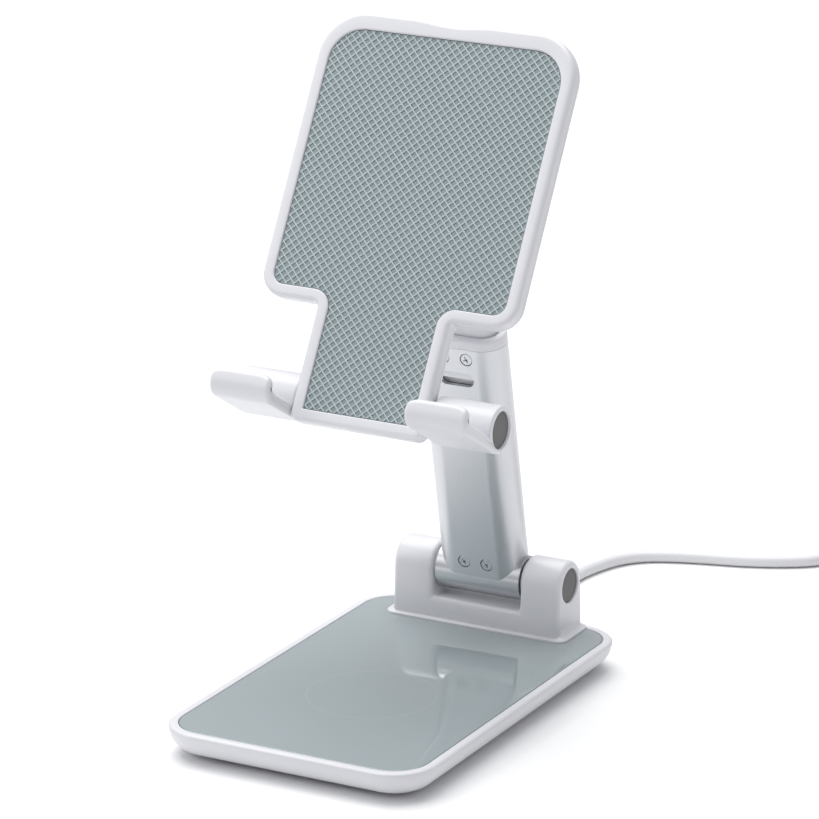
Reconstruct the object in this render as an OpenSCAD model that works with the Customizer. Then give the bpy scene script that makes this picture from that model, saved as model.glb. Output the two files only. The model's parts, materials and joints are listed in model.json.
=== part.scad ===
// Folding phone stand with a charging base, a telescopic arm and a tilting panel with two fold-up hooks.
// Millimetres. Origin: middle of the base on the table. +X is the user's right, +Y is back, +Z is up.

/* [Base] */
// Width of the base housing
base_w = 79.2; // [70:0.1:100]
// Depth of the base housing, front to back
base_d = 126.2; // [115:0.1:160]
// Thickness of the base housing without its feet
base_t = 7.5; // [7.4:0.1:10]
// Corner radius of the base housing
base_r = 12.6; // [10:0.1:18]
// Radius with which the side of the housing curves under
under_r = 7; // [5:0.1:7.2]
// Width of the white rim round the gloss plate
rim_w = 2.6; // [2:0.1:4]
// Thickness of the gloss plate
plate_t = 1; // [0.8:0.1:1]
// Clearance round the gloss plate and the bottom cover
seat_gap = 0.15; // [0.05:0.05:0.3]
// Thickness of the deck under the gloss plate
deck_t = 1; // [0.8:0.1:1]
// Wall of the housing round its cavity
base_wall = 3.6; // [3:0.1:5]
// Thickness of the bottom cover
cover_t = 1.2; // [1:0.1:1.2]
// Height of the feet below the housing
foot_h = 1.2; // [1:0.1:3]
// Diameter of a foot
foot_d = 15; // [10:0.1:16]
// Distance of the feet from the middle, sideways
foot_x = 20.7; // [16:0.1:23]
// Distance of the feet from the front and back edges
foot_inset = 18.1; // [16:0.1:20]
// Thickness of the steel ballast plate
ballast_t = 2.2; // [1:0.1:2.4]

/* [Charging parts] */
// Outside diameter of the charging coil
coil_d = 42; // [36:0.5:46]
// Thickness of the charging coil
coil_t = 0.9; // [0.6:0.1:1]
// Side of the square ferrite sheet
ferrite_w = 50; // [44:0.5:54]
// Thickness of the ferrite sheet
ferrite_t = 0.6; // [0.4:0.1:0.8]
// Distance from the front of the base to the middle of the charging coil
coil_inset = 49.6; // [46:0.1:54]

/* [Hinge bracket] */
// Width of the bracket over its two ears
bracket_w = 52.2; // [46:0.1:56]
// Gap between the two ears
ear_gap = 27.5; // [26:0.1:30]
// Radius of the ears round the pivot
ear_r = 7.05; // [6.6:0.05:8]
// Draft of the bracket's front and back faces in degrees
ear_draft = 3; // [1:0.5:5]
// Height of the arm's pivot above the gloss plate
pivot_rise = 14.2; // [13.5:0.1:18]
// Distance of the arm's pivot from the back edge of the base
pivot_inset = 9; // [9:0.1:12]
// Height of the block between the ears above the gloss plate
block_rise = 6.6; // [4:0.1:6.8]
// Width of the flared skirt at the bracket's foot
skirt_w = 56.6; // [54:0.1:60]
// Height of the skirt above the gloss plate
skirt_h = 0.8; // [0.4:0.1:1.2]

/* [Arm] */
// Rest angle of the arm, leaning forwards from upright
arm_lean = 11.4; // [5:0.1:15]
// Half width of the oval arm tube
tube_a = 12.85; // [12:0.05:13]
// Half thickness of the oval arm tube
tube_b = 6.2; // [6:0.05:6.3]
// Wall of the arm tube
tube_wall = 1.2; // [1:0.05:1.4]
// Distance from the pivot to the top of the arm tube
tube_top = 73.4; // [70:0.1:80]
// Radius of the silver knuckle at the arm's foot
knuckle_r = 6.4; // [6.35:0.05:6.5]
// Radius of the lower pivot pin
low_pin_r = 2.5; // [2:0.1:2.6]
// Height of the white collar above the tube
collar_h = 3.2; // [2.5:0.1:5]
// Half spacing of the screw pairs on the arm's front
screw_x = 3.5; // [3:0.1:5]
// Radius of the arm screws' heads
screw_head_r = 1.9; // [1.6:0.05:2.2]

/* [Sliding bar] */
// Half width of the sliding bar
bar_a = 10.1; // [9.5:0.05:10.3]
// Half thickness of the sliding bar
bar_b = 3.9; // [3.6:0.05:3.95]
// Wall of the sliding bar
bar_wall = 1.4; // [1.2:0.05:1.6]
// Rest distance between the lower and the upper pivot
reach = 127.5; // [122:0.1:134]
// Length of the bar that stays inside the arm tube and collar at rest
bar_inside = 25; // [22:0.1:26]
// Length of the glide shoe at the foot of the bar
shoe_h = 10; // [8:0.1:12]
// Radius of the knuckle at the top of the bar
top_knuckle_r = 6.2; // [5.8:0.05:6.4]
// Half length of the top knuckle
top_knuckle_l = 7.7; // [6:0.1:7.8]
// Radius of the upper pivot pin
top_pin_r = 2; // [1.6:0.1:2.2]

/* [Panel] */
// Rest angle of the panel, leaning back from upright
panel_lean = 30.1; // [20:0.1:35]
// Width of the panel
panel_w = 76.9; // [72:0.1:84]
// Width of the neck at the panel's foot
neck_w = 39.6; // [38:0.1:42]
// Distance from the upper pivot up to the panel's top edge
panel_up = 34.2; // [28:0.1:40]
// Distance from the upper pivot down to the panel's shoulders
shoulder_down = 46.7; // [44:0.1:50]
// Distance from the upper pivot down to the foot of the neck
neck_down = 79.3; // [78:0.1:81]
// Radius of the panel's top corners
panel_r = 13; // [10:0.1:16]
// Radius of the panel's shoulder corners
shoulder_r = 7; // [6:0.1:9]
// Width of the white rim round the pad
panel_rim = 3.6; // [3:0.1:4.5]
// Width of the rim above the pad
top_rim = 5; // [3.6:0.1:6]
// Distance from the upper pivot forwards to the pad's face
pad_out = 14; // [13.8:0.1:15]
// Thickness of the pad
pad_t = 1.5; // [1:0.1:1.6]
// Height of the rim above the pad's face
rim_proud = 0.4; // [0.2:0.1:0.6]
// Thickness of the front frame behind the pad's face
frame_t = 3.2; // [3:0.1:3.4]
// Thickness of the whole panel behind the pad's face
panel_t = 7; // [6.6:0.1:7.1]
// Width of the thumb scallop in the top edge
scallop_w = 25; // [15:0.5:32]
// Depth of the thumb scallop
scallop_h = 1.2; // [0.5:0.1:2]

/* [Hooks] */
// Radius of the hooks' barrels
hook_r = 6.5; // [6:0.05:6.8]
// Distance from the upper pivot down to the hook shaft
shaft_down = 71.6; // [71:0.1:72.5]
// Distance from the pad's face back to the hook shaft
shaft_back = 7.5; // [7.5:0.1:8]
// Radius of the hook shaft
shaft_r = 2.5; // [2:0.1:2.6]
// Distance from the pad's face forwards to the front of the lip
hook_out = 14.2; // [12:0.1:16]
// Thickness of the hook's floor
hook_floor = 3.5; // [2.5:0.1:4]
// Thickness of the hook's lip
lip_t = 3; // [2.2:0.1:3.5]
// Height of the lip above the hook's underside
lip_h = 7.4; // [6:0.1:9]
// Radius of the outer bend between floor and lip
hook_bend = 4.5; // [3.6:0.1:5]

/* [Cord] */
// Diameter of the cord
cord_d = 3.5; // [3:0.1:4]
// Length of the strain relief behind the base
relief_l = 14; // [12:0.5:14]

/* [Fits] */
// Radial clearance of a pin or shaft that turns in a bore
run_gap = 0.05; // [0.02:0.01:0.1]
// Gap between faces of pieces that move past each other
face_gap = 0.3; // [0.3:0.05:0.5]
// Thickness of the friction washers at the pivots
washer_t = 0.4; // [0.3:0.05:0.6]
// Depth of the end caps below the faces round them
cap_sink = 0.5; // [0.3:0.1:0.8]
// Thickness of the end caps
cap_t = 1.2; // [0.8:0.1:1.4]

/* [Hidden] */
$fn = 72;
TINY = 0.01;

// base levels and outlines
base_h = foot_h + base_t;
plate_z = base_h - plate_t;
deck_z = plate_z - deck_t;
cover_z = foot_h + cover_t;
cover_inset = under_r + 0.9;
ledge_w = 1.2;
cavity_step = 0.6;
plate_w = base_w - 2 * rim_w;
plate_d = base_d - 2 * rim_w;
plate_r = base_r - rim_w;
foot_y = base_d / 2 - foot_inset;
foot_sink = 0.6;
post_x = ferrite_w / 2 + 3.5;
post_y = foot_y - foot_d / 2 - 3.6;
post_r = 2.8;
cover_screw_r = 1;
cover_head_r = 2;
coil_y = coil_inset - base_d / 2;
ballast_gap = 0.3;
ballast_w = base_w - 2 * (cover_inset + ledge_w) - 2 * ballast_gap;
ballast_front = -base_d / 2 + cover_inset + ledge_w + ballast_gap;
board_d = 18;
board_w = 52;
board_t = 1;
board_y = coil_y + ferrite_w / 2 + 1 + board_d / 2;
board_z = cover_z + ballast_t;

// bracket
pivot_y = base_d / 2 - pivot_inset;
pivot_z = base_h + pivot_rise;
ear_out = bracket_w / 2;
ear_in = ear_gap / 2;
block_z = base_h + block_rise;
foot_half = ear_r * cos(ear_draft) + (pivot_rise + ear_r * sin(ear_draft)) * tan(ear_draft);
skirt_reach = 0.9;
skirt_front = pivot_y - foot_half - skirt_reach;
skirt_back = base_d / 2 - 0.6;
clamp_y = skirt_front + 6;
clamp_d = 10;
clamp_w = 50;
clamp_t = 1.6;
clamp_back = clamp_y + clamp_d / 2;
ballast_back = clamp_y - clamp_d / 2 - 1;
clamp_xs = [-20, -9, 9, 20];
clamp_screw_r = 1.25;
clamp_head_r = 2.3;
clamp_head_h = 1.3;
clamp_grip = 8;
counter_r = low_pin_r + 2.35;
counter_l = 5;
pin_head_r = low_pin_r + 1.8;
pin_head_l = 2.2;
nut_flat = 2 * low_pin_r + 2.6;
spring_washer_t = 0.6;
pin_end = ear_out - cap_sink - cap_t - 0.15;

// arm
barrel_l = ear_in - washer_t - face_gap;
tube_in_a = tube_a - tube_wall;
tube_in_b = tube_b - tube_wall;
low_screw_z = 5.9;
top_screw_z = tube_top - 3;
screw_shank_r = 0.9;
screw_head_h = 1;
screw_l = 3.2;
collar_screw_l = tube_b - bar_b - run_gap - 0.35;
plug_top = 10.5;
slot_z = tube_top - 9.4;
slot_l = 10.6;
slot_h = 4.1;
key_h = 1.9;
key_in = 0.7;
collar_skirt = 6;
collar_a = tube_a + 0.05;
collar_b = tube_b + 0.05;
bar_hole_a = bar_a + run_gap;
bar_hole_b = bar_b + run_gap;

// sliding bar
bar_foot = tube_top + collar_h - bar_inside;
bar_head = reach - top_knuckle_r - 0.5;
shoe_a = tube_in_a - run_gap;
shoe_b = tube_in_b - run_gap;
bar_plug = 14;
bar_screw_z = bar_head - 7;
bar_screw_x = 4;
bar_head_sink = 0.9;

// upper hinge
lug_in = top_knuckle_l + face_gap + washer_t;
lug_t = 5;
lug_out = lug_in + lug_t;
lug_r = 6;
top_counter_r = top_pin_r + 1.7;
top_counter_l = 1.9;
top_head_r = top_pin_r + 1.4;
top_nut_flat = 2 * top_pin_r + 1.9;

// panel, in its own frame: pivot at the origin, front towards -Y
pad_y = -pad_out;
frame_front = pad_y - rim_proud;
frame_back = pad_y + frame_t;
panel_back_y = pad_y + panel_t;
back_wall = 1.6;
back_floor = 1.6;
pad_groove = 0.2;
pad_head = top_rim - panel_rim;
neck_r = 2.5;
inner_r = 1;
corner_steps = 9;
boss_r = 2.6;
panel_screw_r = 0.9;
panel_head_r = 1.9;
panel_screws_at = [[-28, 20], [28, 20], [-28, -34], [28, -34], [-12, -56], [12, -56]];
stiffener_t = 1;
stiffener_w = 44;
shaft_y = pad_y + shaft_back;
shaft_z = -shaft_down;
housing_r = 4.2;
bush_r = 3.3;
bush_l = 6;

// hooks
hook_in = neck_w / 2 + face_gap;
hook_end = panel_w / 2;
hook_counter_l = 3.8;
hook_counter_r = 5.1;
shaft_end = hook_end - hook_counter_l;
flat_y = 1.9;
hook_screw_head_r = 3.4;
hook_screw_head_h = 1.6;
hook_screw_r = 1.2;
hook_screw_l = 7;
lip_corner = 3.2;

// cord: route points chosen by hand, on the table behind and to the right of the base
cord_rest = 1.8;
cord_sides = 8;
relief_y = base_d / 2;
exit_y = relief_y + relief_l;
exit_z = (cover_z + cavity_step + deck_z) / 2;
exit_boss_r = 3.4;
stem_r = 1.4;
flange_r = 1.8;
lead_route = [
    [0, exit_y, exit_z], [-0.3, 84, 4], [-0.8, 90.5, 2.9], [-1.4, 97, 2.1], [-2, 103.5, cord_rest],
    [-2.5, 110, cord_rest], [-2.3, 118, cord_rest], [-0.7, 126.2, cord_rest], [2.3, 134.2, cord_rest],
    [7.3, 140.2, cord_rest], [14.3, 144.2, cord_rest], [23.3, 147.5, cord_rest], [34.3, 150.7, cord_rest],
    [44.3, 155, cord_rest], [52.3, 160.2, cord_rest], [57, 166.3, cord_rest], [60.2, 173.6, 2],
    [62.6, 181.2, 2.3]
];
wind_d = 40.5;
wind_cols = 4;
wind_rows = 2;
tie_t = 0.6;
tie_w = 7;
wind_x = 87.1;
wind_y = 172.7;
wind_in = wind_d / 2 - wind_cols * cord_d / 2;
wind_out = wind_d / 2 + wind_cols * cord_d / 2;
wind_z = tie_t;
wind_h = wind_rows * cord_d;
plug_axis_z = 4;
plug_x = 117.3;
plug_y = 143.2;
boot_l = 4;
plug_body_l = 24;
plug_body_w = 15.6;
plug_body_h = 8;
usb_l = 14;
usb_w = 12;
usb_h = 4.5;
usb_wall = 0.4;
usb_seat = 4;
tail_route = [
    [103.5, 192.2, 5.8], [109.3, 188, 5.8], [113.9, 182.2, 5.7], [116.5, 175.2, 5.2],
    [plug_x, 167.2, 4.4], [plug_x, 159.2, plug_axis_z]
];

// ---- shared shapes ----

// Solid cylinder along X from x0 to x1
module x_rod(r, x0, x1) {
    translate([x0, 0, 0]) rotate([0, 90, 0]) cylinder(r = r, h = x1 - x0);
}

// Solid cylinder along Y from y0 to y1
module y_rod(r, y0, y1) {
    translate([0, y0, 0]) rotate([-90, 0, 0]) cylinder(r = r, h = y1 - y0);
}

// Hexagon prism along X, given its width over flats
module x_hex(flat, x0, x1) {
    translate([x0, 0, 0]) rotate([0, 90, 0]) cylinder(r = flat / sqrt(3), h = x1 - x0, $fn = 6);
}

// Rectangle with round corners, centred
module round_rect(w, d, r) {
    square([w - 2 * r, d], center = true);
    square([w, d - 2 * r], center = true);
    for (x = [-1, 1], y = [-1, 1]) translate([x * (w / 2 - r), y * (d / 2 - r)]) circle(r = r);
}

// Oval of half width a and half thickness b, with flat faces and round ends
module oval(a, b) {
    square([2 * (a - b), 2 * b], center = true);
    for (x = [-1, 1]) translate([x * (a - b), 0]) circle(r = b);
}

// Oval prism between two heights
module oval_prism(a, b, z0, z1) {
    translate([0, 0, z0]) linear_extrude(z1 - z0) oval(a, b);
}

// Rows of points of a tube swept along a route, and the tube as one closed polyhedron
function along(route, i) =
    let (n = len(route) - 1, a = route[max(i - 1, 0)], b = route[min(i + 1, n)]) (b - a) / norm(b - a);
function blend_at(p0, p1, p2, p3, t) =
    0.5 * (2 * p1 + (p2 - p0) * t + (2 * p0 - 5 * p1 + 4 * p2 - p3) * t * t
    + (3 * p1 - p0 - 3 * p2 + p3) * t * t * t);
function smooth(route, steps) =
    let (n = len(route) - 1)
    concat([for (i = [0 : n - 1], s = [0 : steps - 1])
        blend_at(route[max(i - 1, 0)], route[i], route[i + 1], route[min(i + 2, n)], s / steps)],
        [route[n]]);
module cord_tube(route, d) {
    line = smooth(route, 2);
    n = len(line);
    k = cord_sides;
    rings = [for (i = [0 : n - 1])
        let (t = along(line, i), side = cross(t, [0, 0, 1]) / norm(cross(t, [0, 0, 1])), up = cross(side, t))
        for (j = [0 : k - 1]) line[i] + (side * cos(360 * j / k) + up * sin(360 * j / k)) * d / 2];
    walls = [for (i = [0 : n - 2], j = [0 : k - 1])
        [i * k + j, i * k + (j + 1) % k, (i + 1) * k + (j + 1) % k, (i + 1) * k + j]];
    start = [for (j = [k - 1 : -1 : 0]) j];
    finish = [for (j = [0 : k - 1]) (n - 1) * k + j];
    polyhedron(points = rings, faces = concat([start], walls, [finish]), convexity = 8);
}

// ---- base ----

// Half section of the housing's foot: flat underneath, curving up to its full width
module under_section(half) {
    translate([-(half - under_r), 0]) square([2 * (half - under_r), under_r]);
    for (x = [-1, 1]) intersection() {
        translate([x * (half - under_r), under_r]) circle(r = under_r);
        translate([-half, 0]) square([2 * half, under_r]);
    }
}

// Outer body of the housing without its hollows
module housing_body() {
    translate([0, 0, foot_h]) {
        translate([0, base_d / 2 - base_r, 0]) rotate([90, 0, 0])
            linear_extrude(base_d - 2 * base_r) under_section(base_w / 2);
        translate([-base_w / 2 + base_r, 0, 0]) rotate([90, 0, 90])
            linear_extrude(base_w - 2 * base_r) under_section(base_d / 2);
        for (x = [-1, 1], y = [-1, 1])
            translate([x * (base_w / 2 - base_r), y * (base_d / 2 - base_r), 0]) rotate_extrude()
                intersection() {
                    under_section(base_r);
                    square([base_r, under_r]);
                }
        translate([0, 0, under_r]) linear_extrude(base_t - under_r) round_rect(base_w, base_d, base_r);
    }
}

module base_housing() color("whitesmoke") difference() {
    union() {
        housing_body();
        translate([0, 0, exit_z]) y_rod(exit_boss_r, base_d / 2 - base_wall, relief_y);
    }
    translate([0, 0, plate_z]) linear_extrude(plate_t + 1) round_rect(plate_w, plate_d, plate_r);
    // opening for the bottom cover, the narrow lower stage of the cavity and its wide upper stage
    translate([0, 0, foot_h - 1]) linear_extrude(cover_t + 1)
        round_rect(base_w - 2 * cover_inset, base_d - 2 * cover_inset, base_r - cover_inset);
    difference() {
        union() {
            translate([0, 0, cover_z - TINY]) linear_extrude(deck_z - cover_z + TINY)
                round_rect(base_w - 2 * (cover_inset + ledge_w), base_d - 2 * (cover_inset + ledge_w),
                    base_r - cover_inset - ledge_w);
            translate([0, 0, cover_z + cavity_step]) linear_extrude(deck_z - cover_z - cavity_step)
                round_rect(base_w - 2 * base_wall, base_d - 2 * base_wall, base_r - base_wall);
        }
        for (x = [-1, 1], y = [-1, 1]) translate([x * post_x, y * post_y, cover_z - 1])
            cylinder(r = post_r, h = base_t);
    }
    for (x = [-1, 1], y = [-1, 1]) translate([x * post_x, y * post_y, foot_h])
        cylinder(r = cover_screw_r, h = deck_z - foot_h - 0.6);
    for (x = clamp_xs) translate([x, clamp_y, deck_z - 1]) cylinder(r = clamp_screw_r, h = deck_t + 2);
    translate([0, 0, exit_z]) y_rod(stem_r, base_d / 2 - base_wall - 1, relief_y + 1);
}

// The gloss plate is cut away at the back for the foot of the bracket
module base_plate() color("lightslategray") difference() {
    translate([0, 0, plate_z]) linear_extrude(plate_t)
        round_rect(plate_w - 2 * seat_gap, plate_d - 2 * seat_gap, plate_r - seat_gap);
    translate([-skirt_w / 2 - 0.1, skirt_front - 0.1, plate_z - 1])
        cube([skirt_w + 0.2, base_d, plate_t + 2]);
}

module bottom_cover() color("gainsboro") difference() {
    translate([0, 0, foot_h]) linear_extrude(cover_t)
        round_rect(base_w - 2 * cover_inset - 2 * seat_gap, base_d - 2 * cover_inset - 2 * seat_gap,
            base_r - cover_inset - seat_gap);
    for (x = [-1, 1], y = [-1, 1]) {
        translate([x * foot_x, y * foot_y, foot_h - 1]) cylinder(d = foot_d + 0.1, h = 1 + foot_sink);
        translate([x * post_x, y * post_y, foot_h - 1]) {
            cylinder(r = cover_screw_r + 0.1, h = cover_t + 2);
            cylinder(r = cover_head_r + 0.1, h = 1.8);
        }
    }
}

module cover_screws() color("silver")
    for (x = [-1, 1], y = [-1, 1]) translate([x * post_x, y * post_y, foot_h]) difference() {
        union() {
            cylinder(r = cover_head_r, h = 0.8);
            cylinder(r = cover_screw_r, h = cover_t + 2.2);
        }
        for (a = [0, 90]) rotate(a) translate([-1.1, -0.2, -1]) cube([2.2, 0.4, 1.4]);
    }

module base_feet() color("dimgray")
    for (x = [-1, 1], y = [-1, 1]) translate([x * foot_x, y * foot_y, 0]) {
        cylinder(d = foot_d - 0.6, h = 0.4);
        translate([0, 0, 0.4]) cylinder(d = foot_d, h = foot_h + foot_sink - 0.4);
    }

module ballast_plate() color("slategray") difference() {
    translate([-ballast_w / 2, ballast_front, cover_z])
        cube([ballast_w, ballast_back - ballast_front, ballast_t]);
    for (x = [-1, 1], y = [-1, 1]) translate([x * post_x, y * post_y, cover_z - 1])
        cylinder(r = post_r + ballast_gap, h = ballast_t + 2);
    for (x = [-1, 1]) translate([x * ballast_w / 2, ballast_front, cover_z - 1]) rotate(45)
        cube([12, 12, 3 * ballast_t], center = true);
}

module charging_coil() color("peru") translate([0, coil_y, deck_z - coil_t]) difference() {
    cylinder(d = coil_d, h = coil_t);
    translate([0, 0, -1]) cylinder(d = coil_d / 2, h = coil_t + 2);
}

module ferrite_sheet() color("darkslategray")
    translate([0, coil_y, deck_z - coil_t - ferrite_t]) linear_extrude(ferrite_t)
        round_rect(ferrite_w, ferrite_w, 3);

module circuit_board() color("seagreen")
    translate([0, board_y, board_z]) linear_extrude(board_t) round_rect(board_w, board_d, 1);

module board_parts() color("black") translate([0, board_y, board_z + board_t]) {
    for (p = [[-18, 3, 5, 5], [-8, -3, 4, 4], [3, 3, 6, 5], [14, -2, 3.5, 6], [20, 4, 4, 3], [-20, -5, 3, 2]])
        translate([p[0] - p[2] / 2, p[1] - p[3] / 2, 0]) cube([p[2], p[3], 0.8]);
    for (i = [0 : 5]) translate([-4 + 2.2 * i, -7, 0]) cube([1, 1.6, 0.6]);
}

// Side view of the bracket's ears: round over the pivot, flaring with the draft down to the foot
module ear_section() {
    c = [0, pivot_rise];
    side = ear_r * [cos(ear_draft), sin(ear_draft)];
    circle_top = c + side;
    polygon([[-foot_half, 0], [foot_half, 0], circle_top, [-side[0], c[1] + side[1]]]);
    translate(c) circle(r = ear_r);
}

module hinge_bracket() color("white") difference() {
    union() {
        translate([-ear_out, pivot_y, base_h]) rotate([90, 0, 90]) linear_extrude(bracket_w) ear_section();
        // skirt on the gloss plate, and the foot that stands on the deck
        translate([0, (skirt_front + skirt_back) / 2, plate_z]) linear_extrude(plate_t + skirt_h)
            round_rect(skirt_w, skirt_back - skirt_front, 2.5);
    }
    translate([-ear_in, pivot_y - 2 * ear_r, block_z]) cube([ear_gap, 4 * ear_r, 3 * ear_r]);
    translate([-skirt_w, base_d / 2 - rim_w, plate_z - 1]) cube([2 * skirt_w, 10, 1 + plate_t]);
    translate([0, pivot_y, pivot_z]) {
        x_rod(low_pin_r, -bracket_w, bracket_w);
        x_rod(counter_r, ear_out - counter_l, bracket_w);
        x_rod(counter_r, -bracket_w, -ear_out + counter_l);
    }
    for (x = clamp_xs) translate([x, clamp_y, plate_z - 1])
        cylinder(r = clamp_screw_r, h = 1 + clamp_grip - deck_t);
}

module clamp_plate() color("lightsteelblue") difference() {
    translate([-clamp_w / 2, clamp_y - clamp_d / 2, deck_z - clamp_t]) cube([clamp_w, clamp_d, clamp_t]);
    for (x = clamp_xs) translate([x, clamp_y, deck_z - clamp_t - 1])
        cylinder(r = clamp_screw_r, h = clamp_t + 2);
}

module bracket_screws() color("silver")
    for (x = clamp_xs) translate([x, clamp_y, deck_z - clamp_t]) {
        translate([0, 0, -clamp_head_h]) cylinder(r = clamp_head_r, h = clamp_head_h);
        cylinder(r = clamp_screw_r, h = clamp_t + clamp_grip);
    }

module at_pivot() {
    translate([0, pivot_y, pivot_z]) children();
}

module lower_pin() color("silver") at_pivot() {
    x_rod(low_pin_r, -ear_out + counter_l, pin_end);
    x_rod(pin_head_r, -ear_out + counter_l - pin_head_l, -ear_out + counter_l);
}

module lower_pin_nut() color("silver") at_pivot() difference() {
    union() {
        x_rod(low_pin_r + 1.6, ear_out - counter_l, ear_out - counter_l + spring_washer_t);
        x_hex(nut_flat, ear_out - counter_l + spring_washer_t, pin_end);
    }
    x_rod(low_pin_r, 0, bracket_w);
}

module lower_washers() color("lightgray") at_pivot() for (s = [-1, 1]) difference() {
    x_rod(knuckle_r - 0.8, min(s * ear_in, s * (ear_in - washer_t)),
        max(s * ear_in, s * (ear_in - washer_t)));
    x_rod(low_pin_r, -bracket_w, bracket_w);
}

module bracket_caps() color("dimgray") at_pivot() for (s = [0, 1]) mirror([s, 0, 0])
    x_rod(counter_r, ear_out - cap_sink - cap_t, ear_out - cap_sink);

// ---- cord ----

module cord_relief() color("whitesmoke") translate([0, 0, exit_z]) {
    y_rod(stem_r, base_d / 2 - base_wall, relief_y);
    y_rod(flange_r, base_d / 2 - base_wall - 1.2, base_d / 2 - base_wall);
    translate([0, relief_y, 0]) rotate([-90, 0, 0]) cylinder(r1 = 3.4, r2 = cord_d / 2 + 0.5, h = relief_l);
}

module cord_lead() color("white") cord_tube(lead_route, cord_d);

module cord_winding() color("white") translate([wind_x, wind_y, wind_z]) rotate_extrude()
    translate([wind_in, 0]) square([wind_out - wind_in, wind_h]);

module cord_tie() color("gray") translate([wind_x, wind_y, 0]) difference() {
    translate([-tie_w / 2, -wind_out - tie_t, 0])
        cube([tie_w, wind_out - wind_in + 2 * tie_t, wind_h + 2 * tie_t]);
    translate([0, 0, wind_z]) rotate_extrude()
        translate([wind_in, 0]) square([wind_out - wind_in, wind_h]);
}

module cord_tail() color("white") cord_tube(tail_route, cord_d);

// The plug lies beside the coil and points to the front, so its boot meets the cord at its back
module at_plug() {
    translate([plug_x, plug_y, plug_axis_z]) rotate([0, 0, 180]) children();
}

module plug_grip() color("white") at_plug() {
    translate([0, -plug_body_l / 2 - boot_l, 0]) rotate([-90, 0, 0])
        cylinder(r1 = cord_d / 2 + 0.4, r2 = 3.2, h = boot_l);
    difference() {
        translate([0, plug_body_l / 2, 0]) rotate([90, 0, 0]) linear_extrude(plug_body_l)
            round_rect(plug_body_w, plug_body_h, 2.2);
        translate([-usb_w / 2, plug_body_l / 2 - usb_seat, -usb_h / 2]) cube([usb_w, usb_seat + 1, usb_h]);
    }
}

module plug_shell() color("silver") at_plug() difference() {
    translate([-usb_w / 2, plug_body_l / 2 - usb_seat, -usb_h / 2]) cube([usb_w, usb_l + usb_seat, usb_h]);
    translate([-usb_w / 2 + usb_wall, plug_body_l / 2 - usb_seat + 1, -usb_h / 2 + usb_wall])
        cube([usb_w - 2 * usb_wall, usb_l + usb_seat, usb_h - 2 * usb_wall]);
    for (x = [-3, 3]) translate([x - 1.1, plug_body_l / 2 + usb_l / 2 - 1.3, -usb_h])
        cube([2.2, 2.6, 2 * usb_h]);
}

module plug_tongue() color("whitesmoke") at_plug()
    translate([-usb_w / 2 + usb_wall, plug_body_l / 2 - usb_seat + 1, 0])
        cube([usb_w - 2 * usb_wall, usb_l + usb_seat - 2, usb_h / 2 - usb_wall]);

// ---- arm, in its own frame: pivot at the origin, +Z up the arm, front towards -Y ----

module at_arm() {
    translate([0, pivot_y, pivot_z]) rotate([arm_lean, 0, 0]) children();
}

// The silver knuckle turns on the lower pin and plugs into the tube's foot
module lower_knuckle() color("lightgray") at_arm() difference() {
    union() {
        x_rod(knuckle_r, -barrel_l, barrel_l);
        oval_prism(tube_in_a, tube_in_b, 0, plug_top);
    }
    x_rod(low_pin_r + run_gap, -bracket_w, bracket_w);
    for (x = [-1, 1]) translate([x * screw_x, 0, low_screw_z])
        y_rod(screw_shank_r, -tube_b - 1, -tube_b + screw_l);
}

module front_screw_seats(z) {
    for (x = [-1, 1]) translate([x * screw_x, 0, z]) {
        y_rod(screw_shank_r, -tube_b - 1, -1);
        y_rod(screw_head_r, -tube_b - 1, -tube_b + screw_head_h);
    }
}

module arm_tube() color("silver") at_arm() difference() {
    oval_prism(tube_a, tube_b, 0, tube_top);
    oval_prism(tube_in_a, tube_in_b, -1, tube_top + 1);
    x_rod(knuckle_r, -2 * tube_a, 2 * tube_a);
    front_screw_seats(low_screw_z);
    front_screw_seats(top_screw_z);
    translate([0, 0, slot_z]) rotate([90, 0, 0]) linear_extrude(2 * tube_b) oval(slot_l / 2, slot_h / 2);
}

// Countersunk screw with a cross recess, its head flush with the tube's front
module front_screw(z, l) {
    translate([0, 0, z]) difference() {
        union() {
            y_rod(screw_head_r, -tube_b, -tube_b + screw_head_h);
            y_rod(screw_shank_r, -tube_b, -tube_b + l);
        }
        for (a = [0, 90]) rotate([0, a, 0]) translate([-1.1, -tube_b - 1, -0.2]) cube([2.2, 1.5, 0.4]);
    }
}

module knuckle_screws() color("gray") at_arm()
    for (x = [-1, 1]) translate([x * screw_x, 0, 0]) front_screw(low_screw_z, screw_l);

module collar_screws() color("gray") at_arm()
    for (x = [-1, 1]) translate([x * screw_x, 0, 0]) front_screw(top_screw_z, collar_screw_l);

// The white collar caps the tube and guides the bar
module arm_collar() color("white") at_arm() difference() {
    union() {
        oval_prism(collar_a, collar_b, tube_top, tube_top + collar_h);
        oval_prism(tube_in_a, tube_in_b, tube_top - collar_skirt, tube_top);
    }
    oval_prism(bar_hole_a, bar_hole_b, tube_top - collar_skirt - 1, tube_top + collar_h + 1);
    front_screw_seats(top_screw_z);
}

// Key in the upper half of the slot: its inner edge stops the glide shoe
module stop_key() color("lightgray") at_arm() intersection() {
    translate([0, -tube_b + 0.4, slot_z]) rotate([-90, 0, 0]) linear_extrude(tube_wall - 0.4 + key_in)
        oval(slot_l / 2, slot_h / 2);
    translate([-slot_l, -tube_b, slot_z + slot_h / 2 - key_h]) cube([2 * slot_l, tube_b, key_h]);
}

// ---- sliding bar, in the arm's frame ----

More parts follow.
